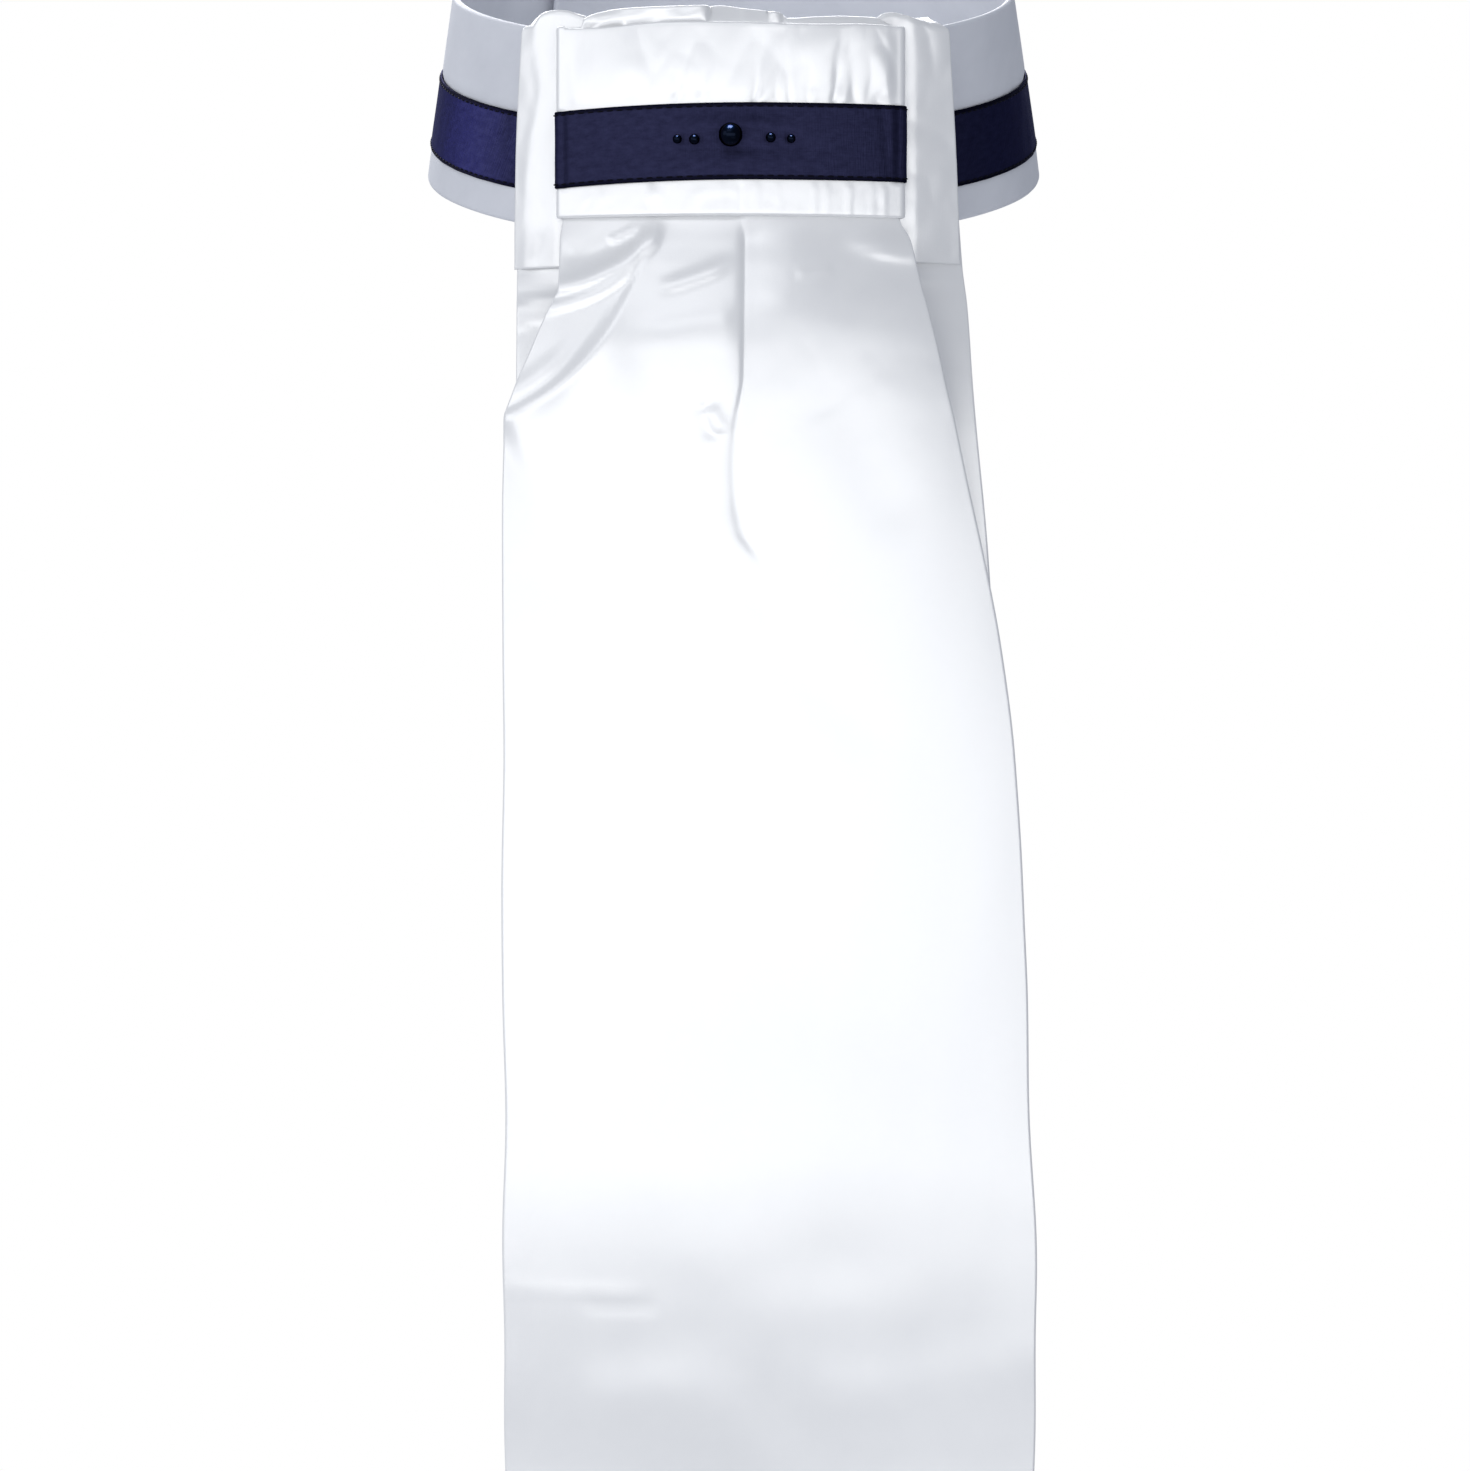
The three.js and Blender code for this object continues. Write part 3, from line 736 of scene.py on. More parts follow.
def collar_place(angle, height, lift):
    """A point of the leaning collar: angle in degrees from the front, height along the neck."""
    lap = LAP_STEP * ease(-angle, 360 - LAP_INNER - LAP_RISE, 360 - LAP_INNER)
    radius = collar_radius(height) + lap + lift
    turn = np.radians(angle)
    x = radius * np.sin(turn)
    y = -radius * np.cos(turn)
    lean_y = y * math.cos(COLLAR_TILT) - height * math.sin(COLLAR_TILT)
    lean_z = y * math.sin(COLLAR_TILT) + height * math.cos(COLLAR_TILT)
    return np.stack(np.broadcast_arrays(x, lean_y, lean_z), axis=-1)


SLOPE = math.atan((COLLAR_BOTTOM_RADIUS - COLLAR_TOP_RADIUS) / COLLAR_HEIGHT)
RIBBON_LOW = -COLLAR_HEIGHT / 2 + RIBBON_MARGIN * math.cos(SLOPE)
RIBBON_HIGH = RIBBON_LOW + RIBBON_WIDTH * math.cos(SLOPE)


def make_collar_band():
    arc = math.radians(LAP_INNER - LAP_OUTER) * COLLAR_TOP_RADIUS
    us = shares(330, COLLAR_WALL, arc)
    vs = shares(34, COLLAR_WALL, COLLAR_HEIGHT)
    share, drop = np.meshgrid(us, vs)
    angle = LAP_OUTER + (LAP_INNER - LAP_OUTER) * share
    height = COLLAR_HEIGHT * (0.5 - drop)
    run = np.radians(angle) * COLLAR_TOP_RADIUS
    near_ribbon = hump(height - RIBBON_HIGH, 5) + hump(height - RIBBON_LOW, 4)
    pucker = 0.06 * ripples(run, height, 11, 7, 1, 4) * near_ribbon
    slack = 0.1 * ripples(run, height, 12, 34, 1, 1.2)
    channel = CHANNEL_DEPTH * between(height, RIBBON_LOW, RIBBON_HIGH, 0.4)
    lift = -COLLAR_WALL / 2 + pucker + slack * ease(np.abs(height), 0, 6) - channel
    band = cloth("collar_band_cloth", collar_place(angle, height, lift), COLLAR_WALL, COTTON)
    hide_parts("collar_band")
    return band


def make_collar_ribbon():
    arc = 2 * math.pi * COLLAR_BOTTOM_RADIUS
    us = shares(300, RIBBON_WALL, arc)
    vs = shares(14, RIBBON_WALL, RIBBON_WIDTH)
    share, drop = np.meshgrid(us, vs)
    angle = RIBBON_START + RIBBON_TURN * share
    height = RIBBON_HIGH + (RIBBON_LOW - RIBBON_HIGH) * drop
    run = np.radians(angle) * COLLAR_BOTTOM_RADIUS
    lift = RIBBON_WALL / 2 - RIBBON_SINK + 0.04 * ripples(run, height, 21, 6, 1, 3)
    ribbon = cloth("collar_ribbon_satin", collar_place(angle, height, lift), RIBBON_WALL, NAVY)
    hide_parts("collar_ribbon")
    return ribbon


def make_closure_patch():
    margin = math.degrees(PATCH_MARGIN / COLLAR_TOP_RADIUS)
    start = LAP_OUTER + 360 + margin
    end = LAP_INNER - margin
    us = shares(30, PATCH_WALL, math.radians(end - start) * COLLAR_TOP_RADIUS)
    vs = shares(16, PATCH_WALL, PATCH_HEIGHT)
    share, drop = np.meshgrid(us, vs)
    place = collar_place(start + (end - start) * share, PATCH_HEIGHT * (0.5 - drop), PATCH_CENTRE)
    patch = cloth("closure_patch_tape", place, PATCH_WALL, HOOKS)
    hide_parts("closure_patch")
    return patch


def tail_hang(z, top, bottom, follow):
    """How far a tail stands forward from its top down, and how much of the plan's curve it keeps."""
    drop = np.clip((top - z) / (top - bottom), 0, 1)
    forward = TAIL_BELLY * follow * smooth(TAIL_HANG, "drop", "forward", drop)
    return forward, smooth(TAIL_HANG, "drop", "curve", drop)


def top_layers(x, above):
    """Relief of the tail's folded top, above the bar's upper edge."""
    relief = np.zeros(x.shape)
    for before, layer in zip([None, *TOP_LAYERS], TOP_LAYERS):
        shown = ease(x, layer["x"] - 0.15, layer["x"] + 0.15)
        old = before or layer
        relief += shown * (layer["lift"] - old["lift"]) - shown * (layer["slope"] - old["slope"]) * above
    relief -= TOP_LAYERS[0]["slope"] * above
    relief += 0.3 * ripples(x, above, 34, 7, 1, 0.6) * (1 - ease(x, -7, -5))
    return relief * ease(above, 0, 0.8)


def hem_thickness(z, end):
    """A tail's thickness, fuller over the hem at its end."""
    return 1 + HEM_FULLNESS * (1 - ease(z, end + HEM_DEPTH - 0.4, end + HEM_DEPTH + 0.4))


def front_tail_rows():
    """Rows of the front tail: -1 to 0 over its folded top and behind the bar, then on to 1 at its end."""
    rim = shares(12, TAIL_WALL, 40)
    above = np.unique(np.concatenate([rim[rim < 0.5], np.linspace(0, 1, 40)[:-1]]))
    fine = np.linspace(0, 0.32, 110)[:-1]
    coarse = np.linspace(0.32, 1, 120)
    rim = 1 - shares(4, TAIL_WALL, TAIL_LENGTH)
    rim = rim[rim > 0.995]
    below = np.unique(np.concatenate([fine, coarse[coarse < rim.min()], rim]))
    return np.concatenate([above - 1, below])


def front_tail_relief(x, z):
    """The front tail's pleat, folds and crumple. They open out below the bar, and behind it the part to the
    left of the pleat's edge lies lower."""
    beyond = x - smooth(PLEAT, "z", "x", z)
    opened = ease(BAR_BOTTOM - z, 0, 6)
    soft = 0.8 + 0.5 * ease(-z, 66, 90)
    lap = 0.24 * (1 - np.tanh(beyond / soft)) * np.exp(-np.maximum(-beyond, 0) / 7)
    groove = -0.3 * hump(beyond, soft) - 0.3 * hump(beyond - 1, 3)
    pleat = (lap + groove) * (1 - ease(-z, *PLEAT_FADES))
    broad = 0.03 * ripples(x, z, 32, 16, 1, 1.6) + 0.17 * ripples(x, z, 33, 48, 1, 1.5)
    crumpled = crumple(x, z, 38, 9, 0.02, 1.2) * (1 - ease(-z, 70, 110))
    loose = ripples(x, z, 35, 34, 0.05, 0.6) * ease(-z, 225, 255)
    shown = (fold_relief(TAIL_FOLDS, x, z) + pleat + broad + crumpled + loose) * opened
    hidden = 0.15 * (1 - np.tanh(beyond / 0.6)) * (1 - opened)
    return shown - hidden + top_layers(x, z - BAR_TOP)


def make_front_tail():
    by_pleat = np.array([-1.1, -0.7, -0.4, -0.2, 0.2, 0.4, 0.7, 1.1]) / 90
    us = shares(116, TAIL_WALL, 100, dense=0.5 + by_pleat)
    share, row = np.meshgrid(us, front_tail_rows())
    top_left = smooth(TAIL_EDGES, "z", "left", BAR_TOP)
    top_x = top_left + (smooth(TAIL_EDGES, "z", "right", BAR_TOP) - top_left) * share
    peak = BAR_TOP + smooth(TAIL_TOP, "x", "rise", top_x)
    z = np.where(row < 0, BAR_BOTTOM - row * (peak - BAR_BOTTOM), BAR_BOTTOM - row * TAIL_LENGTH)
    left = smooth(TAIL_EDGES, "z", "left", z)
    right = smooth(TAIL_EDGES, "z", "right", z)
    pleat_share = (smooth(PLEAT, "z", "x", z) - left) / (right - left)
    across = share + (pleat_share - 0.5) * (1 - np.abs(2 * share - 1) ** 1.5)
    x = left + (right - left) * across
    x = x + 0.35 * ripples(0 * z, z, 31, 40, 1) * (2 * share - 1) * ease(-z, 60, 110)
    forward, curve = tail_hang(z, BAR_BOTTOM, TAIL_END, 1)
    y = -(TAIL_FRONT - TAIL_WALL / 2) - forward + plan_depth(x) * curve - front_tail_relief(x, z)
    hem = hem_thickness(z, TAIL_END)
    tail = cloth("front_tail_satin", np.stack([x, y, z], axis=-1), TAIL_WALL, SATIN, thicker=hem)
    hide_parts("front_tail")
    return tail


def make_back_tail():
    us = shares(90, BACK_TAIL_WALL, 100)
    tuck = corner("back_tail", 1, 2)
    vs = shares(200, BACK_TAIL_WALL, tuck - BACK_TAIL_END)
    share, drop = np.meshgrid(us, vs)
    z = tuck - drop * (tuck - BACK_TAIL_END)
    left = smooth(BACK_TAIL_EDGES, "z", "left", z)
    x = left + (smooth(BACK_TAIL_EDGES, "z", "right", z) - left) * share
    forward, curve = tail_hang(z, HEM, BACK_TAIL_END, 0.5)
    shown = ease(HEM - z, 0, 4)
    relief = (fold_relief(BACK_TAIL_FOLDS, x, z) + 0.25 * ripples(x, z, 41, 40, 1, 1.6)) * shown
    relief -= 0.12 * np.minimum(x + 37, 0) * shown * (1 - ease(HEM - z, 14, 34))
    relief -= 0.7 * ease(-x, 38, 42) * (1 - ease(HEM - z, -3, 1))
    y = -(BACK_TAIL_FRONT - BACK_TAIL_WALL / 2) - forward + plan_depth(x) * curve - relief
    hem = hem_thickness(z, BACK_TAIL_END)
    tail = cloth("back_tail_satin", np.stack([x, y, z], axis=-1), BACK_TAIL_WALL, SATIN, thicker=hem)
    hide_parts("back_tail")
    return tail


def flap_relief(x, z):
    """How far the strips beside the bar stand forward: the left one's band and the right one's fold."""
    band_edge = smooth(BAND_EDGE, "z", "x", z)
    band = 0.3 * ease(x, band_edge - 2, band_edge + 2) + 0.28 * np.minimum(x - band_edge, 0)
    fold_width = 0.35 * ripples(0 * z, z, 53, 26, 1)
    fold = 0.75 * ease(x, 34.8, 37.4 + fold_width) - 0.07 * np.maximum(x - 38, 0)
    waves = 0.08 * ripples(x, z, 51, 13, 1, 2.5) + crumple(x, z, 54, 9, 0.15, 2)
    raised = np.where(x < 0, ease(-x, 35.2, 37.2), ease(x, 33, 35))
    return (np.where(x < 0, band, fold) + waves) * raised


def make_front_flap():
    """The flap's rows run up its face to v = 1, over the collar's edge to 2 and down inside it to 3."""
    us = shares(150, FLAP_WALL, 92)
    rim = shares(10, FLAP_WALL, FLAP_RISE)
    climb = np.unique(np.concatenate([rim[rim < 0.1], np.linspace(0.03, 1, 80)]))
    over = np.linspace(1, 2, 22)[1:]
    down = 2 + np.unique(np.concatenate([np.linspace(0, 0.9, 14)[1:], 1 - rim[rim < 0.1]]))
    vs = np.concatenate([climb, over, down])[::-1]
    share, v = np.meshgrid(us, vs)
    narrowed = FLAP_TAPER * ease(v, 1, 1.4)
    face_z = np.where(v < 1, HEM + FLAP_RISE * v, FLAP_EDGES[-1]["z"])
    left = smooth(FLAP_EDGES, "z", "left", face_z) + narrowed
    x = left + (smooth(FLAP_EDGES, "z", "right", face_z) - narrowed - left) * share
    inside_radius = collar_radius(COLLAR_HEIGHT / 2) - COLLAR_WALL - GAP - FLAP_WALL / 2
    inside_forward = np.sqrt(inside_radius**2 - x**2)
    inside = inside_forward * math.cos(COLLAR_TILT) + COLLAR_HEIGHT / 2 * math.sin(COLLAR_TILT)
    spring = -inside_forward * math.sin(COLLAR_TILT) + COLLAR_HEIGHT / 2 * math.cos(COLLAR_TILT) + GAP
    top = smooth(FLAP_TOP, "x", "z", x)
    hem = HEM + 1.1 * ease(x, 20, 40)
    z_front = hem + (top - hem) * v
    pressed = 1 - ease(z_front, hem, hem + 10)
    outer = FLAP_FRONT - FLAP_WALL / 2 - plan_depth(x) + flap_relief(x, z_front) - 0.44 * pressed
    turn = math.pi * (np.clip(v, 1, 2) - 1)
    swell = FLAP_ROLL * (1 - 0.5 * np.abs(2 * share - 1) ** 6)
    y_roll = (outer + inside) / 2 + (outer - inside) / 2 * np.cos(turn)
    level = top + (spring - top) * ease(v, 1, 1.6)
    z_roll = level + swell * np.sin(turn)
    fall = FLAP_INSIDE * np.maximum(v - 2, 0)
    y = np.where(v <= 1, outer, np.where(v <= 2, y_roll, inside - fall * math.tan(COLLAR_TILT - SLOPE)))
    z = np.where(v <= 1, z_front, np.where(v <= 2, z_roll, spring - fall))
    middle = np.stack([x, -y, z], axis=-1)
    flap = cloth("front_flap_satin", middle, FLAP_WALL, SATIN, thicker=1 - 0.5 * pressed)
    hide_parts("front_flap")
    return flap


BAR_TURN = (BAR_WALL * 2 + TAIL_WALL + 2 * GAP) / 2
BAR_LEAN = math.asin(BAR_RIGHT / FRONT_RADIUS)
BAR_FLAT = (BAR_RIGHT - BAR_LEFT) / 2 - BAR_TURN * (math.cos(BAR_LEAN) - math.sin(BAR_LEAN))
BAR_CORNER = 0.6


def bar_path(u, lift):
    """The bar's outer face in plan, lifted off by a distance: u runs over the front from -1 to 1, then round
    each squarish end and back in behind it. Gives x and the forward distance."""
    side = np.sign(u)
    beyond = np.maximum(np.abs(u) - 1, 0)
    x_flat = np.clip(u, -1, 1) * BAR_FLAT + BAR_MIDDLE
    lean = np.arcsin(x_flat / FRONT_RADIUS)
    turned = np.minimum(beyond, 1) * math.pi
    radius = BAR_TURN + lift
    outward = radius * np.sin(turned) ** BAR_CORNER - np.maximum(beyond - 1, 0) * BAR_TUCK
    ahead = radius * np.sign(np.cos(turned)) * np.abs(np.cos(turned)) ** BAR_CORNER - BAR_TURN
    x = x_flat + side * outward * np.cos(lean) + ahead * np.sin(lean)
    forward = BAR_FRONT - plan_depth(x_flat) - side * outward * np.sin(lean) + ahead * np.cos(lean)
    return x, forward


def bar_steps(ends):
    """Steps of u along the bar, closer together where it turns, as far as the given end."""
    front = np.linspace(-1, 1, 170)
    turn = 1 + (min(ends, 2) - 1) * np.linspace(0, 1, 18)[1:] ** 1.6
    tuck = np.linspace(2, ends, 6)[1:] if ends > 2 else np.array([])
    side = np.concatenate([turn, tuck])
    last = side[-1] - np.array([0.08, 0.02, 0.005])
    side = np.unique(np.concatenate([side, last]))
    return np.concatenate([-side[::-1], front, side])


def ribbon_line(u):
    """Height of the ribbon's middle: level over most of the bar, dipping towards the bar's left end."""
    return RIBBON_MIDDLE - 0.85 * np.maximum(0.2 - np.maximum(u, -1), 0) ** 2


def bar_relief(u, x, z):
    """The bar's gathers above and below its ribbon, its crumple, and the ribbon's bite at its ends."""
    upper_edge = ribbon_line(u) + RIBBON_WIDTH / 2
    lower_edge = ribbon_line(u) - RIBBON_WIDTH / 2
    up = z - upper_edge
    under = lower_edge - z
    relief = np.zeros(u.shape)
    for gather in BAR_GATHERS:
        wander = 0.25 * ripples(0 * z, z, 65 + int(gather["x"] * 10) % 97, 7, 1) * ease(up, 0, 4)
        away = x - gather["x"] - gather["lean"] * up / gather["length"] - wander
        width = gather["width"] * (1 + 0.04 * np.maximum(up, 0))
        fade = np.exp(-np.maximum(up, 0) / gather["length"]) * ease(up, -1, 0.8)
        shape = 0.9 * hump(away - 1.3 * width, width) - 1.1 * hump(away, 0.75 * width)
        relief += gather["height"] * fade * shape
    relief += 0.22 * np.sin(math.pi * np.clip(up / (BAR_TOP - upper_edge), 0, 1))
    facets = crumple(x, z, 66, 10, 0.1, 2) * (1 + 1.4 * ease(x, 4, 20))
    relief += (0.14 * ripples(x, z, 61, 18, 1, 1.4) + facets) * ease(up, 0, 3)
    for gather in MARGIN_GATHERS:
        relief += 0.85 * gather["height"] * ease(under, 0.2, 1.5) * hump(x - gather["x"], 0.8)
    slit = 0.14 * hump(x - 1.4, 0.5) * ease(under, 0, 1.5)
    relief += crumple(x, z, 72, 7, 0.05, 1.5) * ease(under, 0.5, 3) - slit
    relief *= 1 - ease(np.abs(u), 0.92, 1)
    return relief - RIBBON_BITE * ease(np.abs(u), 0.95, 1) * between(z, lower_edge, upper_edge, 0.3)


def make_cross_bar():
    us = bar_steps(3)
    vs = shares(64, BAR_WALL, BAR_HEIGHT)
    u, drop = np.meshgrid(us, vs)
    x_plain, _ = bar_path(u, 0)
    z = BAR_TOP - drop * BAR_HEIGHT
    relief = bar_relief(u, x_plain, z)
    x, forward = bar_path(u, (relief - BAR_WALL) / 2)
    sway = 0.2 * ripples(x_plain, 0 * z, 64, 30, 1) + 0.5 * (1 - u**2) - 0.3
    z = z + sway * (1 - drop) * (np.abs(u) < 1)
    middle = np.stack([x, -forward, z], axis=-1)
    bar = cloth("cross_bar_satin", middle, BAR_WALL, SATIN, thicker=1 + relief / BAR_WALL)
    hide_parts("cross_bar")
    return bar


def bar_ribbon_lift(u, across):
    """How far the ribbon's middle stands off the bar: puckered over the beads, and dented below them and at
    its right end."""
    x, _ = bar_path(u, 0)
    pucker = 0.5 * hump(x, 9) * hump(across - 3.4, 1.6)
    dent = 0.14 * hump(x - 31.5 + 0.12 * across, 1.2) + 0.26 * hump(x, 14) * hump(across + 1.4, 1.6)
    lift = GAP + RIBBON_WALL / 2 - (RIBBON_BITE + 0.2) * ease(np.abs(u), 0.95, 1)
    return lift + pucker - dent + 0.04 * ripples(x, across, 71, 7, 1, 2)


def make_bar_ribbon():
    us = bar_steps(1.5)
    vs = shares(26, RIBBON_WALL, RIBBON_WIDTH)
    u, drop = np.meshgrid(us, vs)
    across = RIBBON_WIDTH * (0.5 - drop)
    x, forward = bar_path(u, bar_ribbon_lift(u, across))
    middle = np.stack([x, -forward, ribbon_line(u) + across], axis=-1)
    ribbon = cloth("bar_ribbon_satin", middle, RIBBON_WALL, NAVY)
    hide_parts("bar_ribbon")
    return ribbon


def one_stitch():
    """A single stitch lying along X, its ends dipping in: vertices and faces in millimetres."""
    length = STITCH_STEP * STITCH_SHARE
    lying = (0, math.pi / 2, 0)
    bpy.ops.object.select_all(action="DESELECT")
    bpy.ops.mesh.primitive_cylinder_add(vertices=6, radius=STITCH_RADIUS, depth=length, rotation=lying)
    stitch = bpy.context.object
    bpy.ops.object.transform_apply(location=True, rotation=True, scale=True)
    bpy.ops.object.mode_set(mode="EDIT")
    for cut in (length * 0.28, -length * 0.28):
        bpy.ops.mesh.select_all(action="SELECT")
        bpy.ops.mesh.bisect(plane_co=(cut, 0, 0), plane_no=(1, 0, 0))
    bpy.ops.object.mode_set(mode="OBJECT")
    points = np.array([v.co for v in stitch.data.vertices])
    at_end = np.abs(points[:, 0]) > length * 0.45
    points[at_end, 1:] *= 0.45
    points[at_end, 2] -= STITCH_RADIUS
    faces = [list(face.vertices) for face in stitch.data.polygons]
    bpy.data.objects.remove(stitch)
    return points, faces


def point_at(run, line, at):
    """A line's point at a distance along it."""
    return np.array([np.interp(at, run, line[:, axis]) for axis in range(3)])


def stitch_rows(name, lines):
    """Rows of stitches along lines of (points, outward directions), copied from one stitch."""
    shape, faces = one_stitch()
    points, all_faces = [], []
    for line, outward in lines:
        gaps = np.linalg.norm(np.diff(line, axis=0), axis=1)
        run = np.concatenate([[0], np.cumsum(gaps)])
        for at in np.arange(STITCH_STEP / 2, run[-1], STITCH_STEP):
            tangent = point_at(run, line, at + 0.4) - point_at(run, line, at - 0.4)
            tangent /= np.linalg.norm(tangent)
            up = point_at(run, outward, at)
            up -= tangent * np.dot(up, tangent)
            up /= np.linalg.norm(up)
            basis = np.stack([tangent, np.cross(up, tangent), up])
            all_faces += [[i + len(points) * len(shape) for i in face] for face in faces]
            points.append(point_at(run, line, at) + shape @ basis)
    mesh = bpy.data.meshes.new(name)
    mesh.from_pydata((np.vstack(points) * MM).tolist(), [], all_faces)
    mesh.polygons.foreach_set("use_smooth", [True] * len(mesh.polygons))
    mesh.materials.append(NAVY_THREAD)
    piece = bpy.data.objects.new(name, mesh)
    bpy.context.collection.objects.link(piece)
    return piece


def collar_stitch_line(height):
    """Points on the collar's ribbon at a height along the neck, and their outward directions."""
    angle = np.linspace(RIBBON_START + 1.5, RIBBON_START + RIBBON_TURN - 1.5, 500)
    lift = RIBBON_WALL - RIBBON_SINK + STITCH_LIFT
    line, raised = (collar_place(angle, np.full(angle.shape, height), lift + more) for more in (0, 1))
    return line, raised - line


def bar_stitch_line(across):
    """Points on the bar's ribbon at a distance above its middle, and their outward directions."""
    u = np.linspace(-1.4, 1.4, 400)
    places = []
    for more in (0, 1):
        x, forward = bar_path(u, bar_ribbon_lift(u, across) + RIBBON_WALL / 2 + STITCH_LIFT + more)
        places.append(np.stack([x, -forward, ribbon_line(u) + across], axis=-1))
    line, raised = places
    return line, raised - line


def make_stitches():
    inset = STITCH_INSET * math.cos(SLOPE)
    collar_lines = [collar_stitch_line(RIBBON_HIGH - inset), collar_stitch_line(RIBBON_LOW + inset)]
    edge = RIBBON_WIDTH / 2 - STITCH_INSET
    bar_lines = [bar_stitch_line(edge), bar_stitch_line(-edge)]
    rows = {"collar_ribbon_stitches": collar_lines, "bar_ribbon_stitches": bar_lines}
    return [stitch_rows(name, lines) for name, lines in rows.items()]


def make_bead(node):
    """A pearl, a little flattened at its ends, in the place of its CAD node."""
    low, high = (np.array(c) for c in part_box(node))
    centre = (low + high) / 2
    radius = (high - low)[2] / 2
    lean = math.asin(centre[0] / (FRONT_RADIUS * MM))
    bpy.ops.object.select_all(action="DESELECT")
    bpy.ops.mesh.primitive_uv_sphere_add(segments=40, ring_count=26, radius=radius)
    bead = bpy.context.object
    bead.name = node + "_pearl"
    bead.data.name = bead.name
    bpy.ops.object.mode_set(mode="EDIT")
    bpy.ops.mesh.select_all(action="DESELECT")
    bpy.ops.object.mode_set(mode="OBJECT")
    for vertex in bead.data.vertices:
        vertex.select = bool(abs(vertex.co.z) > radius * BEAD_END)
    bpy.ops.object.mode_set(mode="EDIT")
    bpy.ops.transform.resize(value=(1, 1, BEAD_FLATNESS))
    bpy.ops.object.mode_set(mode="OBJECT")
    bead.rotation_euler = (0, math.pi / 2, lean)
    bead.location = centre
    bpy.ops.object.transform_apply(location=True, rotation=True, scale=True)
    bpy.ops.object.shade_smooth()
    bead.data.materials.append(PEARL)
    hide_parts(node)
    return bead


collar_band = make_collar_band()
collar_ribbon = make_collar_ribbon()
closure_patch = make_closure_patch()
front = [make_front_flap(), make_back_tail(), make_front_tail(), make_cross_bar(), make_bar_ribbon()]
stitches = make_stitches()
beads = [make_bead(node) for node in BEADS]
for piece in [collar_band, collar_ribbon, closure_patch, *front, *stitches, *beads]:
    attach(piece, "root")


def make_floor():
    """A pale disc below the stock that fades out before the camera's frame begins."""
    bpy.ops.object.select_all(action="DESELECT")
    place = (0, 0, FLOOR_HEIGHT)
    bpy.ops.mesh.primitive_circle_add(vertices=96, radius=FLOOR_RADIUS, fill_type="TRIFAN", location=place)
    floor = bpy.context.object
    floor.name = "floor"
    bpy.ops.object.transform_apply(location=True, rotation=True, scale=True)
    finish = Finish("pale_floor")
    inputs = {"Vector": finish.place(), "Location": (0, 0, -FLOOR_HEIGHT)}
    centred = finish.node("ShaderNodeMapping", None, inputs)[0]
    away = finish.node("ShaderNodeVectorMath", {"operation": "LENGTH"}, {0: centred})[0]
    finish.set(Base_Color=(0.9, 0.9, 0.9, 1), Roughness=0.8, Alpha=finish.fade(away, 0.05, 0.235, 1, 0))
    floor.data.materials.append(finish.material)


def make_light(name, place, aim, size, power, colour=(1, 1, 1)):
    """An area lamp turned towards its aim and out of the camera's sight."""
    data = bpy.data.lights.new(name, "AREA")
    data.shape = "RECTANGLE"
    data.size, data.size_y = size
    data.energy = power
    data.color = colour
    lamp = bpy.data.objects.new(name, data)
    bpy.context.collection.objects.link(lamp)
    lamp.location = place
    direction = np.array(aim) - np.array(place)
    flat = math.hypot(direction[0], direction[1])
    lamp.rotation_euler = (math.atan2(flat, -direction[2]), 0, math.atan2(-direction[0], direction[1]))
    lamp.visible_camera = False
    return lamp


def light_only(lamp, shown):
    """Keeps a lamp's light to the given pieces."""
    receivers = bpy.data.collections.new(lamp.name + "_receivers")
    for piece in shown:
        receivers.objects.link(piece)
    lamp.light_linking.receiver_collection = receivers


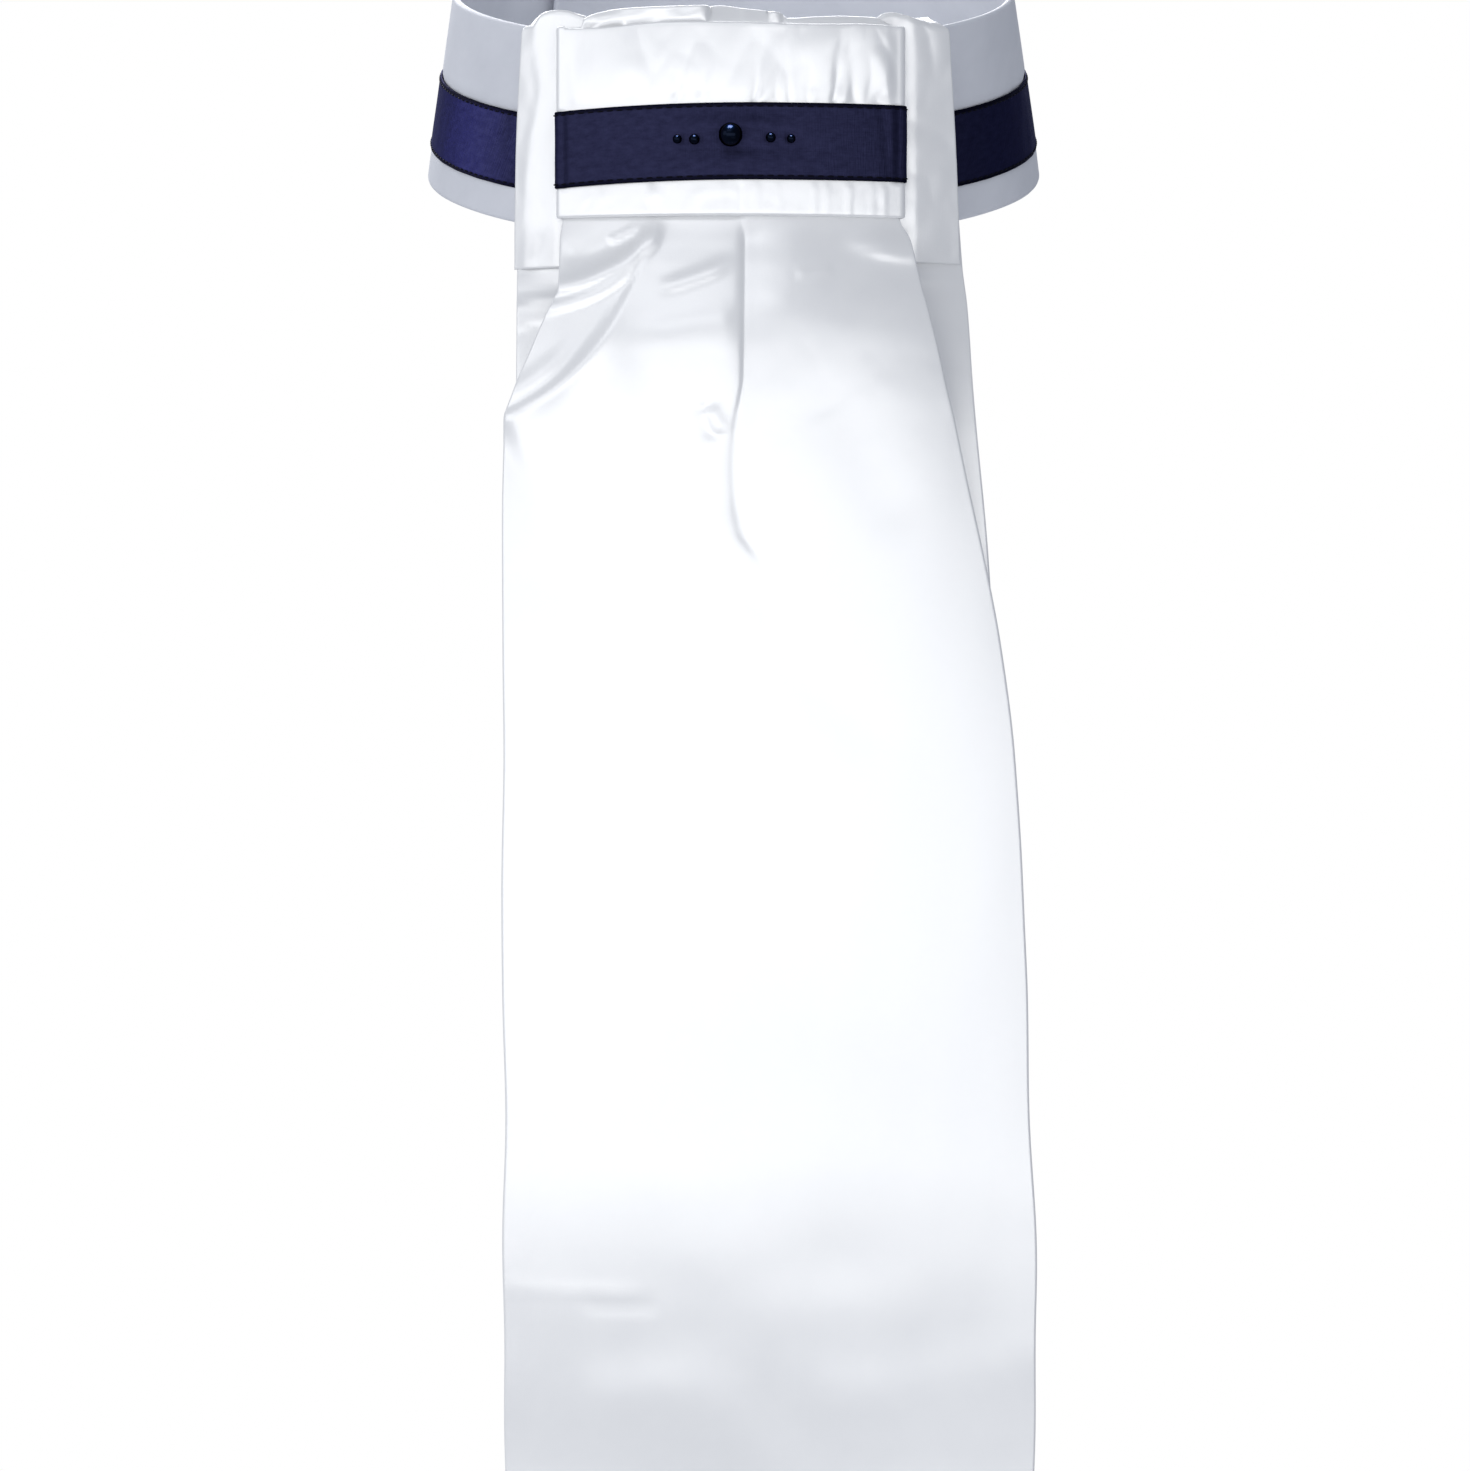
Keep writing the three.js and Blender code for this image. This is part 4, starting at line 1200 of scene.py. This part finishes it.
def make_world():
    """White behind the object, and a dimmer, slightly cool light all round it."""
    world = bpy.data.worlds.new("studio")
    world.use_nodes = True
    bpy.context.scene.world = world
    sky = Nodes(world.node_tree)
    sky.tree.nodes.clear()
    generated = sky.node("ShaderNodeTexCoord")[0]
    across = sky.node("ShaderNodeSeparateXYZ", None, {0: generated})[0]
    share = sky.node("ShaderNodeMapRange", None, {"Value": across, "From Min": -1})[0]
    cool = sky.blend(share, (0.52, 0.54, 0.585, 1), (0.28, 0.3, 0.345, 1))
    around = sky.node("ShaderNodeBackground", None, {"Color": cool})[0]
    seen = sky.node("ShaderNodeBackground", None, {"Color": (1, 1, 1, 1)})[0]
    camera_ray = sky.node("ShaderNodeLightPath")[0]
    mix = sky.node("ShaderNodeMixShader", None, {0: camera_ray, 1: around, 2: seen})[0]
    sky.node("ShaderNodeOutputWorld", None, {"Surface": mix})


def make_camera():
    """The photograph's view: level, straight from the front, a little below the collar."""
    data = bpy.data.cameras.new("camera")
    data.sensor_fit = "HORIZONTAL"
    data.sensor_width = 36
    data.lens = FOCAL_PIXELS / PHOTO_WIDTH * data.sensor_width
    data.clip_start = 0.01
    camera = bpy.data.objects.new("camera", data)
    bpy.context.collection.objects.link(camera)
    camera.location = CAMERA_PLACE
    camera.rotation_euler = (math.pi / 2, 0, 0)
    bpy.context.scene.camera = camera


make_floor()
make_world()
make_camera()
make_light("front_softbox", (0.04, -1.6, -0.13), (0, -0.07, -0.13), (2.8, 0.76), 11.3, (1, 0.992, 0.968))
make_light("upper_softbox", (-0.3, -1.1, 0.75), (0, 0, 0), (0.9, 0.5), 1.6)
make_light("left_softbox", (-1.3, -0.9, 0.25), (0, -0.05, -0.1), (0.9, 0.9), 3.1, (1, 0.995, 0.98))
make_light("low_softbox", (0.7, -1.3, -0.95), (0.05, -0.07, -0.28), (1.2, 0.5), 0.8)
make_light("back_softbox", (-0.3, 1.2, 0.9), (0, 0, -0.05), (1.2, 0.9), 22)
bead_window = make_light("bead_window", (-0.05, -0.24, 0.8), (0, -0.08, 0), (0.45, 0.45), 40)
light_only(bead_window, beads)
ribbon_window = make_light("ribbon_window", (-1.2, 0.5, 0.1), (0, 0, 0), (0.6, 0.6), 9, (1, 0.95, 0.8))
light_only(ribbon_window, [collar_ribbon])
bpy.context.scene.view_settings.view_transform = "Standard"
